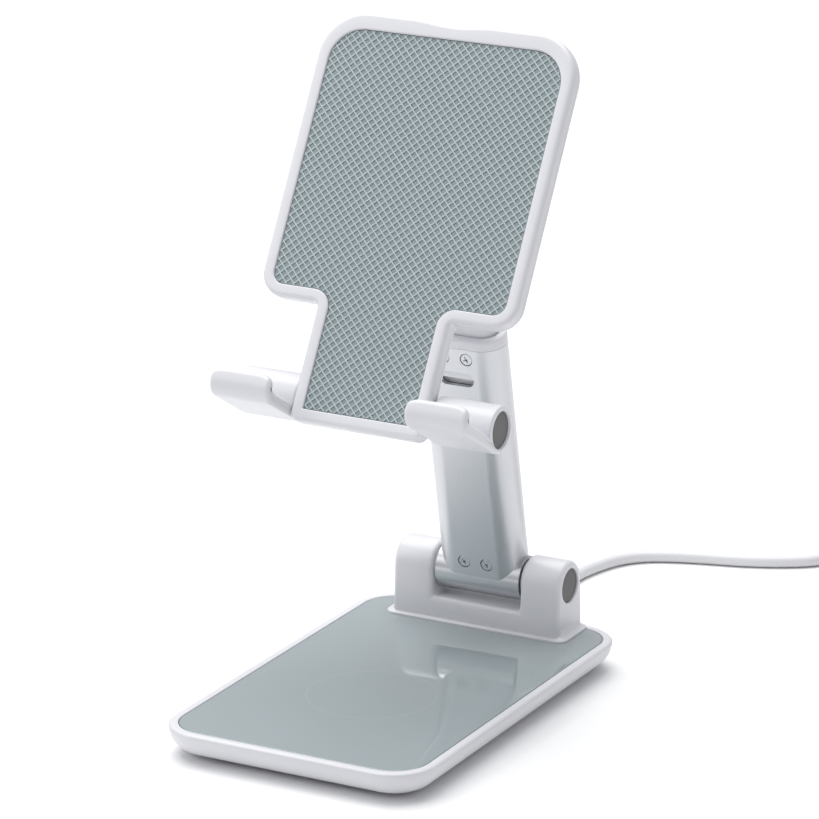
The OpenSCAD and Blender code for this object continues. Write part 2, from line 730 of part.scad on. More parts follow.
module sliding_bar() color("white") at_arm() difference() {
    oval_prism(bar_a, bar_b, bar_foot, bar_head);
    oval_prism(bar_a - bar_wall, bar_b - bar_wall, bar_foot - 1, bar_head + 1);
    for (x = [-1, 1]) translate([x * bar_screw_x, 0, bar_screw_z]) {
        y_rod(screw_shank_r, 0, bar_b + 1);
        y_rod(screw_head_r, bar_b - bar_head_sink, bar_b + 1);
    }
}

module glide_shoe() color("dimgray") at_arm() difference() {
    oval_prism(shoe_a, shoe_b, bar_foot, bar_foot + shoe_h);
    oval_prism(bar_a, bar_b, bar_foot - 1, bar_foot + shoe_h + 1);
    translate([-5, bar_b, bar_foot + 1]) cube([10, 3, shoe_h - 2]);
}

module glide_spring() color("silver") at_arm() translate([0, bar_b, bar_foot + 1.2]) {
    translate([-4.8, 0, 0]) cube([9.6, 0.3, shoe_h - 2.4]);
    translate([-4.8, 0.3, shoe_h / 2 - 2]) cube([9.6, 0.3, 1.6]);
}

module upper_knuckle() color("gainsboro") at_arm() difference() {
    union() {
        translate([0, 0, reach]) x_rod(top_knuckle_r, -top_knuckle_l, top_knuckle_l);
        translate([-top_knuckle_l, -bar_b, bar_head]) cube([2 * top_knuckle_l, 2 * bar_b, reach - bar_head]);
        oval_prism(bar_a - bar_wall, bar_b - bar_wall, bar_head - bar_plug, bar_head);
    }
    translate([0, 0, reach]) x_rod(top_pin_r + run_gap, -bracket_w, bracket_w);
    for (x = [-1, 1]) translate([x * bar_screw_x, 0, bar_screw_z]) y_rod(screw_shank_r, 0, bar_b + 1);
}

module bar_screws() color("gray") at_arm()
    for (x = [-1, 1]) translate([x * bar_screw_x, 0, bar_screw_z]) {
        y_rod(screw_shank_r, 0, bar_b - bar_head_sink);
        y_rod(screw_head_r, bar_b - bar_head_sink, bar_b - 0.05);
    }

// ---- panel, in its own frame: upper pivot at the origin, +Z up the panel, front towards -Y ----

module at_panel() {
    at_arm() translate([0, 0, reach]) rotate([-arm_lean - panel_lean, 0, 0]) children();
}

// Points of a quarter round, turning from angle a to angle b about a centre
function quarter(centre, r, a, b) =
    [for (i = [0 : corner_steps]) let (t = a + (b - a) * i / corner_steps) centre + r * [cos(t), sin(t)]];

// T-shaped outline of the panel drawn in by a margin, and at its top edge by so much more, in X and height
module panel_outline(in, head) {
    half = panel_w / 2 - in;
    neck = neck_w / 2 - in;
    top = panel_up - in - head;
    shoulder = -shoulder_down + in;
    foot = -neck_down + in;
    top_r = panel_r - in;
    low_r = shoulder_r - in;
    toe_r = max(neck_r - in, 0.4);
    fillet_r = inner_r + in;
    polygon(concat(
        quarter([half - top_r, top - top_r], top_r, 0, 90),
        quarter([-half + top_r, top - top_r], top_r, 90, 180),
        quarter([-half + low_r, shoulder + low_r], low_r, 180, 270),
        quarter([-neck - fillet_r, shoulder - fillet_r], fillet_r, 90, 0),
        quarter([-neck + toe_r, foot + toe_r], toe_r, 180, 270),
        quarter([neck - toe_r, foot + toe_r], toe_r, 270, 360),
        quarter([neck + fillet_r, shoulder - fillet_r], fillet_r, 180, 90),
        quarter([half - low_r, shoulder + low_r], low_r, 270, 360)));
}

// A slab of the outline between two depths
module panel_slab(in, y0, y1, head = 0) {
    translate([0, y1, 0]) rotate([90, 0, 0]) linear_extrude(y1 - y0) panel_outline(in, head);
}

module scallop_cut() {
    r = (scallop_w * scallop_w / 4 + scallop_h * scallop_h) / (2 * scallop_h);
    translate([0, 0, panel_up - scallop_h + r]) y_rod(r, frame_front - 1, panel_back_y + 1);
}

module panel_frame() color("white") at_panel() difference() {
    panel_slab(0, frame_front, frame_back);
    scallop_cut();
    panel_slab(panel_rim - pad_groove, frame_front - 1, pad_y + pad_t, pad_head);
    for (p = panel_screws_at) translate([p[0], 0, p[1]])
        y_rod(panel_screw_r, pad_y + pad_t + 0.3, frame_back + 1);
}

module panel_pad() color("lightslategray") at_panel() panel_slab(panel_rim, pad_y, pad_y + pad_t, pad_head);

module panel_back() color("whitesmoke") at_panel() difference() {
    union() {
        difference() {
            panel_slab(0, frame_back, panel_back_y);
            scallop_cut();
            panel_slab(back_wall, frame_back - 1, panel_back_y - back_floor);
        }
        for (p = panel_screws_at) translate([p[0], 0, p[1]]) y_rod(boss_r, frame_back, panel_back_y);
        for (s = [0, 1]) mirror([s, 0, 0]) {
            x_rod(lug_r, lug_in, lug_out);
            translate([lug_in, panel_back_y - back_floor, -lug_r])
                cube([lug_t, -panel_back_y + back_floor, 2 * lug_r]);
        }
        translate([0, shaft_y, shaft_z]) x_rod(housing_r, -neck_w / 2, neck_w / 2);
    }
    for (p = panel_screws_at) translate([p[0], 0, p[1]]) {
        y_rod(panel_screw_r, frame_back - 1, panel_back_y + 1);
        y_rod(panel_head_r, panel_back_y - 1, panel_back_y + 1);
    }
    x_rod(top_pin_r, -panel_w, panel_w);
    for (s = [0, 1]) mirror([s, 0, 0]) x_rod(top_counter_r, lug_out - top_counter_l, panel_w);
    translate([0, shaft_y, shaft_z]) {
        x_rod(shaft_r + face_gap, -neck_w, neck_w);
        for (s = [0, 1]) mirror([s, 0, 0]) x_rod(bush_r, neck_w / 2 - bush_l, neck_w);
    }
}

module panel_screws() color("gray") at_panel() for (p = panel_screws_at) translate([p[0], 0, p[1]]) {
    y_rod(panel_screw_r, pad_y + pad_t + 0.5, panel_back_y - 1);
    difference() {
        y_rod(panel_head_r - 0.05, panel_back_y - 1, panel_back_y - 0.1);
        for (a = [0, 90]) rotate([0, a, 0]) translate([-1.1, panel_back_y - 0.6, -0.2]) cube([2.2, 1, 0.4]);
    }
}

module panel_stiffener() color("slategray") at_panel() difference() {
    translate([-stiffener_w / 2, frame_back, -40]) cube([stiffener_w, stiffener_t, 60]);
    for (z = [-25, 0]) translate([0, 0, z - 5]) y_rod(7, frame_back - 1, frame_back + 2);
}

module upper_pin() color("silver") at_panel() {
    x_rod(top_pin_r, -lug_out + top_counter_l, lug_out - 0.2);
    x_rod(top_head_r, -lug_out + 0.3, -lug_out + top_counter_l);
}

module upper_pin_nut() color("silver") at_panel() difference() {
    x_hex(top_nut_flat, lug_out - top_counter_l, lug_out - 0.2);
    x_rod(top_pin_r, 0, panel_w);
}

module upper_washers() color("lightgray") at_panel() for (s = [0, 1]) mirror([s, 0, 0]) difference() {
    x_rod(lug_r - 0.8, lug_in - washer_t, lug_in);
    x_rod(top_pin_r, 0, panel_w);
}

module shaft_bushes() color("dimgray") at_panel() translate([0, shaft_y, shaft_z])
    for (s = [0, 1]) mirror([s, 0, 0]) difference() {
        x_rod(bush_r, neck_w / 2 - bush_l, neck_w / 2);
        x_rod(shaft_r + run_gap, 0, neck_w);
    }

// ---- hooks, in the shaft's frame: axis along X, phone side towards -Y, +Z up the panel ----

module at_shaft() {
    at_panel() translate([0, shaft_y, shaft_z]) children();
}

// Shaft with a flat along each end, where a hook is keyed to it
module keyed_rod(r, x0, x1) {
    difference() {
        x_rod(r, x0, x1);
        translate([x0 - 1, flat_y, -r - 1]) cube([x1 - x0 + 2, r, 2 * r + 2]);
    }
}

module hook_shaft() color("silver") at_shaft() {
    difference() {
        x_rod(shaft_r, -shaft_end, shaft_end);
        for (s = [0, 1]) mirror([s, 0, 0]) {
            translate([hook_in, flat_y, -shaft_r - 1]) cube([hook_end, shaft_r, 2 * shaft_r + 2]);
            x_rod(hook_screw_r, shaft_end - hook_screw_l, shaft_end + 1);
        }
    }
}

// Side view of a hook: barrel, floor and upright lip
module hook_section() {
    front = -shaft_back - hook_out;
    low = -hook_r;
    difference() {
        union() {
            circle(r = hook_r);
            translate([front + hook_bend, low]) square([-front - hook_bend, hook_floor]);
            translate([front, low + hook_bend]) square([lip_t, lip_h - hook_bend - lip_t / 2]);
            translate([front + lip_t / 2, low + lip_h - lip_t / 2]) circle(r = lip_t / 2);
            translate([front + hook_bend, low + hook_bend]) circle(r = hook_bend);
            translate([front + lip_t - 0.5, low + hook_floor - 0.5]) square([2.5, 2.5]);
        }
        translate([front + lip_t + 2, low + hook_floor + 2]) circle(r = 2);
        translate([front + lip_t, low + hook_floor + 2]) square([2, 9]);
        translate([front + lip_t + 2, low + hook_floor]) square([-front - lip_t - 2 - hook_r - 1, 9]);
    }
}

module hook() difference() {
    union() {
        x_rod(hook_r, hook_in, hook_end);
        intersection() {
            translate([hook_in, 0, 0]) rotate([90, 0, 90]) linear_extrude(hook_end - hook_in) hook_section();
            // front view of the lip: its top corners are well rounded
            union() {
                translate([hook_in, -hook_r - 5, -hook_r - 1]) cube([hook_end, 3 * hook_r, 3 * hook_r]);
                translate([(hook_in + hook_end) / 2, 0, -hook_r + lip_h / 2]) rotate([90, 0, 0])
                    linear_extrude(4 * hook_r) round_rect(hook_end - hook_in, lip_h + 0.1, lip_corner);
            }
        }
    }
    keyed_rod(shaft_r, 0, panel_w);
    x_rod(hook_counter_r, shaft_end, panel_w);
}

module right_hook() color("white") at_shaft() hook();

module left_hook() color("white") at_shaft() mirror([1, 0, 0]) hook();

module hook_screws() color("gray") at_shaft() for (s = [0, 1]) mirror([s, 0, 0]) {
    x_rod(hook_screw_r, shaft_end - hook_screw_l + 0.5, shaft_end);
    x_rod(hook_screw_head_r, shaft_end, shaft_end + hook_screw_head_h);
}

module hook_caps() color("dimgray") at_shaft() for (s = [0, 1]) mirror([s, 0, 0])
    x_rod(hook_counter_r, hook_end - cap_sink - cap_t, hook_end - cap_sink);

base_housing();
base_plate();
bottom_cover();
cover_screws();
base_feet();
ballast_plate();
charging_coil();
ferrite_sheet();
circuit_board();
board_parts();
hinge_bracket();
clamp_plate();
bracket_screws();
lower_pin();
lower_pin_nut();
lower_washers();
bracket_caps();
cord_relief();
cord_lead();
cord_winding();
cord_tie();
cord_tail();
plug_grip();
plug_shell();
plug_tongue();
lower_knuckle();
arm_tube();
knuckle_screws();
arm_collar();
collar_screws();
stop_key();
sliding_bar();
glide_shoe();
glide_spring();
upper_knuckle();
bar_screws();
panel_back();
panel_frame();
panel_pad();
panel_screws();
panel_stiffener();
upper_pin();
upper_pin_nut();
upper_washers();
shaft_bushes();
hook_shaft();
left_hook();
right_hook();
hook_screws();
hook_caps();
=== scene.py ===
import json
import math

import bmesh
import bpy
from mathutils import Matrix, Vector


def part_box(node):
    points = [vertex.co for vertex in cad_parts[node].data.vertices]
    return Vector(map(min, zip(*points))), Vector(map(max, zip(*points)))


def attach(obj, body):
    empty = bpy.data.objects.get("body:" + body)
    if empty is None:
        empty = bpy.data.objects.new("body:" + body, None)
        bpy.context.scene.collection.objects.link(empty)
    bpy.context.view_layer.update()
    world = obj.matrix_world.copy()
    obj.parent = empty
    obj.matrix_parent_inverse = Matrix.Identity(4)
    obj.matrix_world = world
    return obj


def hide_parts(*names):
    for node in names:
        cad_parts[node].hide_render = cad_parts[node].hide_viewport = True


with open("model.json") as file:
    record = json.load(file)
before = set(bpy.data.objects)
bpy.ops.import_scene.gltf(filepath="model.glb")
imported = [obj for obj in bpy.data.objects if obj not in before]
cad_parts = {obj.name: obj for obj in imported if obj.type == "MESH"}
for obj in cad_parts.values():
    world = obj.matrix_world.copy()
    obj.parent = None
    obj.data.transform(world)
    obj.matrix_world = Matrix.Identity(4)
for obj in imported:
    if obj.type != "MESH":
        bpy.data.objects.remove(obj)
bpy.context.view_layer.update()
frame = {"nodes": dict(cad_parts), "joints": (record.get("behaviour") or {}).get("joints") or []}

joints = {joint["name"]: joint for joint in frame["joints"]}
MM = 0.001

# ---- Camera: a long lens a little above the panel, to the right of the stand's front.
view_turn = math.radians(28.25)
view_rise = math.radians(17.61)
view_distance = 1.2805
view_aim = Vector((0.0158, -0.0213, 0.0939))
towards_camera = Vector((
    math.sin(view_turn) * math.cos(view_rise),
    -math.cos(view_turn) * math.cos(view_rise),
    math.sin(view_rise)))


def put_in_scene(name, data):
    """A new object of the scene that shows that data."""
    item = bpy.data.objects.new(name, data)
    bpy.context.scene.collection.objects.link(item)
    return item


camera_data = bpy.data.cameras.new("camera")
camera_data.sensor_width = 36
camera_data.lens = 215
camera = put_in_scene("camera", camera_data)
camera.location = view_aim + towards_camera * view_distance
camera.rotation_euler = (math.pi / 2 - view_rise, 0, view_turn)
bpy.context.scene.camera = camera


# ---- Cord: round PVC cord, 3.5 mm thick, extruded over its wires. It leaves the back of the base, runs
# along the table and is wound into a tied coil, as it is packed; a standard plug is moulded on its far end.
def add_piece(name, mesh, material):
    """A new object of that mesh in the scene, finished in one material."""
    mesh.materials.clear()
    mesh.materials.append(material)
    return put_in_scene(name, mesh)


def new_node(nodes, kind, values=None, **settings):
    """A new node of that kind, with its settings and with values on its input sockets."""
    node = nodes.new(kind)
    for setting, value in settings.items():
        setattr(node, setting, value)
    for socket, value in (values or {}).items():
        node.inputs[socket].default_value = value
    return node


def varied_surface(nodes, links, pattern, colours, shines):
    """Lets a pattern vary the surface between two colours and between two roughnesses."""
    surface = nodes["Principled BSDF"]
    tint = new_node(nodes, "ShaderNodeMix", data_type="RGBA")
    for socket, colour in zip(("A", "B"), colours):
        tint.inputs[socket].default_value = (*colour, 1)
    links.new(pattern, tint.inputs["Factor"])
    links.new(tint.outputs["Result"], surface.inputs["Base Color"])
    gloss = new_node(nodes, "ShaderNodeMapRange", {"To Min": shines[0], "To Max": shines[1]})
    links.new(pattern, gloss.inputs["Value"])
    links.new(gloss.outputs["Result"], surface.inputs["Roughness"])


def embossed(nodes, links, pattern, strength, depth):
    """Raises the surface a little where the pattern is high."""
    relief = new_node(nodes, "ShaderNodeBump", {"Strength": strength, "Distance": depth})
    links.new(pattern, relief.inputs["Height"])
    links.new(relief.outputs["Normal"], nodes["Principled BSDF"].inputs["Normal"])


def moulded_plastic(name, colour, shine, grain_size=0.3 * MM, grain_depth=0.003 * MM, mottle=0.03):
    """Injection-moulded plastic: nearly even colour, a fine spark-eroded grain and uneven gloss."""
    material = bpy.data.materials.new(name)
    material.use_nodes = True
    nodes, links = material.node_tree.nodes, material.node_tree.links
    place = nodes.new("ShaderNodeTexCoord")
    patches = new_node(nodes, "ShaderNodeTexNoise", {"Scale": 0.12 / MM, "Detail": 3})
    links.new(place.outputs["Object"], patches.inputs["Vector"])
    varied_surface(nodes, links, patches.outputs["Fac"], (colour, [c * (1 - mottle) for c in colour]),
                   (shine * 0.85, shine * 1.2))
    grain = new_node(nodes, "ShaderNodeTexNoise", {"Scale": 1 / grain_size, "Detail": 2})
    links.new(place.outputs["Object"], grain.inputs["Vector"])
    embossed(nodes, links, grain.outputs["Fac"], 0.6, grain_depth)
    return material


def smooth_path(points, steps):
    """A smooth line through given points, with that many steps between two of them."""
    path = []
    for i in range(len(points) - 1):
        before, start = Vector(points[max(i - 1, 0)]), Vector(points[i])
        stop, after = Vector(points[i + 1]), Vector(points[min(i + 2, len(points) - 1)])
        for k in range(steps):
            t = k / steps
            path.append(0.5 * (2 * start + (stop - before) * t
                               + (2 * before - 5 * start + 4 * stop - after) * t * t
                               + (3 * start - before - 3 * stop + after) * t ** 3))
    path.append(Vector(points[-1]))
    return path


def ease(t):
    """Goes from 0 to 1 with a soft start and a soft end."""
    t = min(max(t, 0), 1)
    return t * t * (3 - 2 * t)


cord_white = moulded_plastic("cord_white", (0.69, 0.69, 0.70), 0.36, 0.6 * MM)
cord_width = 3.5 * MM
exit_low, exit_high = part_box("cord_relief")
cord_exit = Vector((0, exit_high.y, (exit_low.z + exit_high.z) / 2))
lead_route = [cord_exit] + [Vector(p) * MM for p in (
    (-0.3, 84, 4), (-0.8, 90.5, 2.9), (-1.4, 97, 2.1), (-2, 103.5, 1.8), (-2.5, 110, 1.8), (-2.3, 118, 1.8),
    (-0.7, 126.2, 1.8), (2.3, 134.2, 1.8), (7.3, 140.2, 1.8), (14.3, 144.2, 1.8), (23.3, 147.5, 1.8),
    (34.3, 150.7, 1.8), (44.3, 155, 1.8), (52.3, 160.2, 1.8), (57, 166.3, 1.8), (60.2, 173.6, 2),
    (62.6, 181.2, 2.3))]
coil_low, coil_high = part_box("cord_winding")
coil_centre = (coil_low + coil_high) / 2
coil_columns = 4
coil_spans = 2 * coil_columns
coil_outer = (coil_high.x - coil_low.x) / 2 - cord_width / 2
coil_start = math.radians(150)
coil_turned = math.radians(7 * 360 + 100)
coil_steps = round(coil_turned / math.radians(10))
climb_share = 0.16


def coil_point(share):
    """A point of the coil: the turns go inwards on the table, step up, and come out on top of each other."""
    turn = share * coil_spans
    now = min(int(turn), coil_spans - 1)
    after = min(now + 1, coil_spans - 1)
    moving = ease((turn - now - 1 + climb_share) / climb_share)
    column = [min(k, coil_spans - 1 - k) for k in (now, after)]
    layer = [k // coil_columns for k in (now, after)]
    radius = coil_outer - cord_width * (column[0] + (column[1] - column[0]) * moving)
    height = coil_low.z + cord_width * (0.5 + layer[0] + (layer[1] - layer[0]) * moving)
    angle = coil_start - coil_turned * share
    return Vector((coil_centre.x + radius * math.cos(angle),
                   coil_centre.y + radius * math.sin(angle), height))


coil_path = [coil_point(i / coil_steps) for i in range(coil_steps + 1)]
tail_route = [coil_path[-1]] + [Vector(p) * MM for p in (
    (109.3, 188, 5.8), (113.9, 182.2, 5.7), (116.5, 175.2, 5.2), (117.3, 167.2, 4.4), (117.3, 159.2, 4))]
cord_path = smooth_path(lead_route + [coil_path[0]], 4)[:-1]
cord_path += coil_path + smooth_path(tail_route, 4)[1:]
cord_curve = bpy.data.curves.new("power_cord", "CURVE")
cord_curve.dimensions = "3D"
cord_curve.bevel_depth = cord_width / 2
cord_curve.bevel_resolution = 4
cord_curve.use_fill_caps = True
cord_line = cord_curve.splines.new("POLY")
cord_line.points.add(len(cord_path) - 1)
for knot, spot in zip(cord_line.points, cord_path):
    knot.co = (*spot, 1)
cord_line.use_smooth = True
power_cord = add_piece("power_cord", cord_curve, cord_white)
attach(power_cord, "base")
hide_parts("cord_lead", "cord_winding", "cord_tail")


# ---- Strain relief: soft white PVC sleeve moulded on the cord, with rings cut in it so that it bends evenly.
# Its stem and flange sit in the back wall of the base.
def skin(name, rings, material, closed=False):
    """A mesh over rings of points, with flat ends, or closed from the last ring to the first."""
    mesh = bmesh.new()
    rows = [[mesh.verts.new(p) for p in ring] for ring in rings]
    count = len(rows[0])
    pairs = list(zip(rows, rows[1:])) + ([(rows[-1], rows[0])] if closed else [])
    for low, high in pairs:
        for i in range(count):
            mesh.faces.new((low[i], low[(i + 1) % count], high[(i + 1) % count], high[i]))
    if not closed:
        mesh.faces.new(list(reversed(rows[0])))
        mesh.faces.new(rows[-1])
    bmesh.ops.recalc_face_normals(mesh, faces=mesh.faces)
    if mesh.calc_volume(signed=True) < 0:
        bmesh.ops.reverse_faces(mesh, faces=mesh.faces)
    data = bpy.data.meshes.new(name)
    mesh.to_mesh(data)
    mesh.free()
    shaded(data)
    return add_piece(name, data, material)


def shaded(data, sharp=35):
    """Shades a mesh smooth where its faces meet at less than the sharp angle."""
    data.shade_smooth()
    data.set_sharp_from_angle(angle=math.radians(sharp))


def turned(profile, place, around=40):
    """Rings of a shape turned about its place's +Z: the profile holds (distance along it, radius)."""
    return [[place @ Vector((radius * math.cos(2 * math.pi * i / around),
                             radius * math.sin(2 * math.pi * i / around), along))
             for i in range(around)] for along, radius in profile]


relief_white = moulded_plastic("relief_white", (0.78, 0.78, 0.79), 0.42)
wall_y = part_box("base_housing")[1].y
relief_length = exit_high.y - wall_y
relief_profile = [(-3 * MM, 1.95 * MM), (0, 1.95 * MM), (0.05 * MM, 3.2 * MM), (0.35 * MM, 3.38 * MM)]
relief_rings = 5
relief_pitch = 2.2 * MM
relief_radius = 3.35 * MM
relief_taper = 1.1 * MM
for i in range(relief_rings):
    start = 1.6 * MM + i * relief_pitch
    here = relief_radius - start / relief_length * relief_taper
    relief_profile += [(start, here), (start + 0.2 * MM, here - 0.6 * MM),
                       (start + 0.9 * MM, here - 0.65 * MM), (start + 1.1 * MM, here - 0.1 * MM)]
relief_profile += [(relief_length - 0.4 * MM, 2.2 * MM), (relief_length, 1.8 * MM)]
relief_place = Matrix.Translation((0, wall_y, cord_exit.z)) @ Matrix.Rotation(-math.pi / 2, 4, "X")
cord_sleeve = skin("cord_sleeve", turned(relief_profile, relief_place), relief_white)
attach(cord_sleeve, "base")
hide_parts("cord_relief")


# ---- Coil tie: a flat band of grey coated wire round one side of the coil, its ends twisted together.
def rounded_loop(width, depth, radius, steps=8):
    """Points of a rectangle with round corners about the origin, counterclockwise."""
    points = []
    for turn, (sx, sy) in enumerate(((1, 1), (-1, 1), (-1, -1), (1, -1))):
        for i in range(steps + 1):
            angle = (turn + i / steps) * math.pi / 2
            points.append((sx * (width / 2 - radius) + radius * math.cos(angle),
                           sy * (depth / 2 - radius) + radius * math.sin(angle)))
    return points


tie_grey = moulded_plastic("tie_grey", (0.30, 0.30, 0.31), 0.5, 0.5 * MM, 0.01 * MM)
tie_low, tie_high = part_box("cord_tie")
tie_centre = (tie_low + tie_high) / 2
tie_wall = 0.5 * MM
tie_corner = 1.9 * MM
tie_rings = []
for across, inset in ((-1, 0.15), (-0.9, 0), (0.9, 0), (1, 0.15), (1, 0.85), (0.9, 1), (-0.9, 1), (-1, 0.85)):
    loop = rounded_loop(tie_high.y - tie_low.y - 2 * tie_wall * inset,
                        tie_high.z - tie_low.z - 2 * tie_wall * inset, tie_corner - tie_wall * inset)
    tie_rings.append([Vector((tie_centre.x + across * (tie_high.x - tie_low.x) / 2, tie_centre.y + y,
                              tie_centre.z + z)) for y, z in loop])
coil_tie = skin("coil_tie", tie_rings, tie_grey, closed=True)
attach(coil_tie, "base")
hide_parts("cord_tie")

# ---- Plug: white overmoulded grip with finger ridges on a nickel-plated steel shell, which holds a white
# plastic tongue. The grip's profile holds (millimetres from its cord end, share of its width, of its height).
grip_low, grip_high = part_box("plug_grip")
grip_centre = (grip_low + grip_high) / 2
grip_width, grip_height = grip_high.x - grip_low.x, grip_high.z - grip_low.z
grip_ridges = 5
ridge_pitch = 1.7
grip_profile = [(0, 0.27, 0.5), (1.2, 0.3, 0.56), (3.6, 0.38, 0.76), (4.4, 0.62, 0.86), (5.2, 0.9, 0.95),
                (6.6, 0.98, 1)]
for i in range(grip_ridges):
    start = 9 + i * ridge_pitch
    grip_profile += [(start, 0.99, 1), (start + 0.25, 0.955, 0.95),
                     (start + 0.8, 0.955, 0.95), (start + 1.05, 0.99, 1)]
grip_profile += [(27.1, 0.99, 1), (27.7, 0.975, 0.96), (28, 0.93, 0.9)]
grip_rings = []
for along, wide, high in grip_profile:
    width, height = grip_width * wide, grip_height * high
    corner = min(width, height) * (0.49 if along < 4 else 0.3)
    grip_rings.append([Vector((grip_centre.x - x, grip_high.y - along * MM, grip_centre.z + z))
                       for x, z in rounded_loop(width, height, corner)])
plug_body = skin("plug_body", grip_rings, cord_white)
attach(plug_body, "base")
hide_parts("plug_grip")


def brushed_metal(name, colour, shine, streak=(1, 1, 0.06), streak_depth=0.002 * MM, turn=(0, 0, 0)):
    """Metal with the fine parallel marks of its finishing; streak scales their pattern along each axis."""
    material = bpy.data.materials.new(name)
    material.use_nodes = True
    nodes, links = material.node_tree.nodes, material.node_tree.links
    nodes["Principled BSDF"].inputs["Metallic"].default_value = 1
    place = nodes.new("ShaderNodeTexCoord")
    lay = new_node(nodes, "ShaderNodeMapping", vector_type="TEXTURE")
    lay.inputs["Rotation"].default_value = turn
    links.new(place.outputs["Object"], lay.inputs["Vector"])
    stretch = new_node(nodes, "ShaderNodeVectorMath", {1: streak}, operation="MULTIPLY")
    links.new(lay.outputs["Vector"], stretch.inputs[0])
    marks = new_node(nodes, "ShaderNodeTexNoise", {"Scale": 4 / MM, "Detail": 4})
    links.new(stretch.outputs["Vector"], marks.inputs["Vector"])
    varied_surface(nodes, links, marks.outputs["Fac"], ([c * 0.93 for c in colour], colour),
                   (shine * 0.8, shine * 1.25))
    embossed(nodes, links, marks.outputs["Fac"], 0.5, streak_depth)
    return material


def paint_node(name, material):
    """Finishes a CAD node in one material."""
    data = frame["nodes"][name].data
    data.materials.clear()
    data.materials.append(material)


plug_nickel = brushed_metal("plug_nickel", (0.74, 0.73, 0.71), 0.22)
paint_node("plug_shell", plug_nickel)
paint_node("plug_tongue", relief_white)

# ---- Base housing: white ABS tray, injection moulded in one piece. Its sides curve under to a flat bottom,
# its top edge is a narrow rim round the pocket that the gloss plate is glued into.
shell_white = moulded_plastic("shell_white", (0.71, 0.71, 0.735), 0.32)
housing_low, housing_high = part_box("base_housing")
housing_width, housing_depth = housing_high.x - housing_low.x, housing_high.y - housing_low.y
housing_corner = 12.6 * MM
under_curve = 6.9 * MM
rim_width = 2.6 * MM
rim_round = 1 * MM
lip_round = 0.3 * MM
pocket_depth = 1 * MM
cover_seat = 0.9 * MM


def oval_arc(centre, half_width, half_height, start, stop, steps):
    """Points along part of an ellipse in a plane, angles in degrees."""
    return [(centre[0] + half_width * math.cos(math.radians(start + (stop - start) * i / steps)),
             centre[1] + half_height * math.sin(math.radians(start + (stop - start) * i / steps)))
            for i in range(steps + 1)]


def arc(centre, radius, start, stop, steps):
    """Points along part of a circle in a plane, angles in degrees."""
    return oval_arc(centre, radius, radius, start, stop, steps)


bottom, top = housing_low.z, housing_high.z
tray_section = [(7.85 * MM, bottom + cover_seat), (7.85 * MM, bottom + 0.15 * MM), (7.7 * MM, bottom)]
tray_section += arc((under_curve, bottom + under_curve), under_curve, 270, 180, 12)
tray_section += arc((rim_round, top - rim_round), rim_round, 180, 90, 7)
tray_section += arc((rim_width - lip_round, top - lip_round), lip_round, 90, 0, 4)
tray_section += [(rim_width, top - pocket_depth)]


def tray_rings(width, depth, corner, section, centre):
    """Rings of a rounded rectangle: the section holds (how far a ring is drawn in, its height)."""
    return [[Vector((centre.x + x, centre.y + y, z)) for x, y in
             rounded_loop(width - 2 * inset, depth - 2 * inset, max(corner - inset, 0.4 * MM), 12)]
            for inset, z in section]


housing_centre = (housing_low + housing_high) / 2
base_tray = skin("base_tray", tray_rings(
    housing_width, housing_depth, housing_corner, tray_section, housing_centre), shell_white)
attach(base_tray, "base")
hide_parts("base_housing")

# ---- Gloss plate: back-painted grey acrylic, 1 mm thick, laser cut and polished, glued in the tray's pocket.
# A thin ring printed on it marks the charging coil below.
coil_spot = sum(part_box("charging_coil"), Vector()) / 2
plate_gap = 0.22 * MM
plate_drop = 0.05 * MM
plate_round = 0.3 * MM
ring_radius = 17.7 * MM
ring_half_width = 0.35 * MM
plate_section = [(0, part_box("base_plate")[0].z)]
plate_section += arc((plate_round, top - plate_drop - plate_round), plate_round, 180, 90, 4)


def overpainted(material, factor, colour):
    """Lays a colour over the material's own, as far as the factor's socket says."""
    nodes, links = material.node_tree.nodes, material.node_tree.links
    base = nodes["Principled BSDF"].inputs["Base Color"]
    paint = base.links[0].from_socket
    layer = new_node(nodes, "ShaderNodeMix", data_type="RGBA")
    layer.inputs["B"].default_value = (*colour, 1)
    links.new(factor, layer.inputs["Factor"])
    links.new(paint, layer.inputs["A"])
    links.new(layer.outputs["Result"], base)
    return material


def gloss_plate_grey():
    """Deep polished grey with the faint printed ring over the charging coil."""
    material = moulded_plastic("gloss_plate_grey", (0.32, 0.37, 0.38), 0.06, 2 * MM, 0.0006 * MM, 0.02)
    nodes, links = material.node_tree.nodes, material.node_tree.links
    surface = nodes["Principled BSDF"]
    surface.inputs["Coat Weight"].default_value = 0.6
    surface.inputs["Coat Roughness"].default_value = 0.03
    place = nodes.new("ShaderNodeTexCoord")
    middle_of_ring = (coil_spot.x, coil_spot.y, top - plate_drop)
    off_centre = new_node(nodes, "ShaderNodeVectorMath", {1: middle_of_ring}, operation="SUBTRACT")
    links.new(place.outputs["Object"], off_centre.inputs[0])
    distance = new_node(nodes, "ShaderNodeVectorMath", operation="LENGTH")
    links.new(off_centre.outputs["Vector"], distance.inputs[0])
    line = new_node(nodes, "ShaderNodeMath", {1: ring_radius, 2: ring_half_width}, operation="COMPARE")
    links.new(distance.outputs["Value"], line.inputs[0])
    faint = new_node(nodes, "ShaderNodeMath", {1: 0.05}, operation="MULTIPLY")
    links.new(line.outputs["Value"], faint.inputs[0])
    return overpainted(material, faint.outputs["Value"], (0.62, 0.66, 0.67))


gloss_plate = skin("gloss_plate", tray_rings(
    housing_width - 2 * (rim_width + plate_gap), housing_depth - 2 * (rim_width + plate_gap),
    housing_corner - rim_width - plate_gap, plate_section, housing_centre), gloss_plate_grey())
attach(gloss_plate, "base")
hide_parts("base_plate")

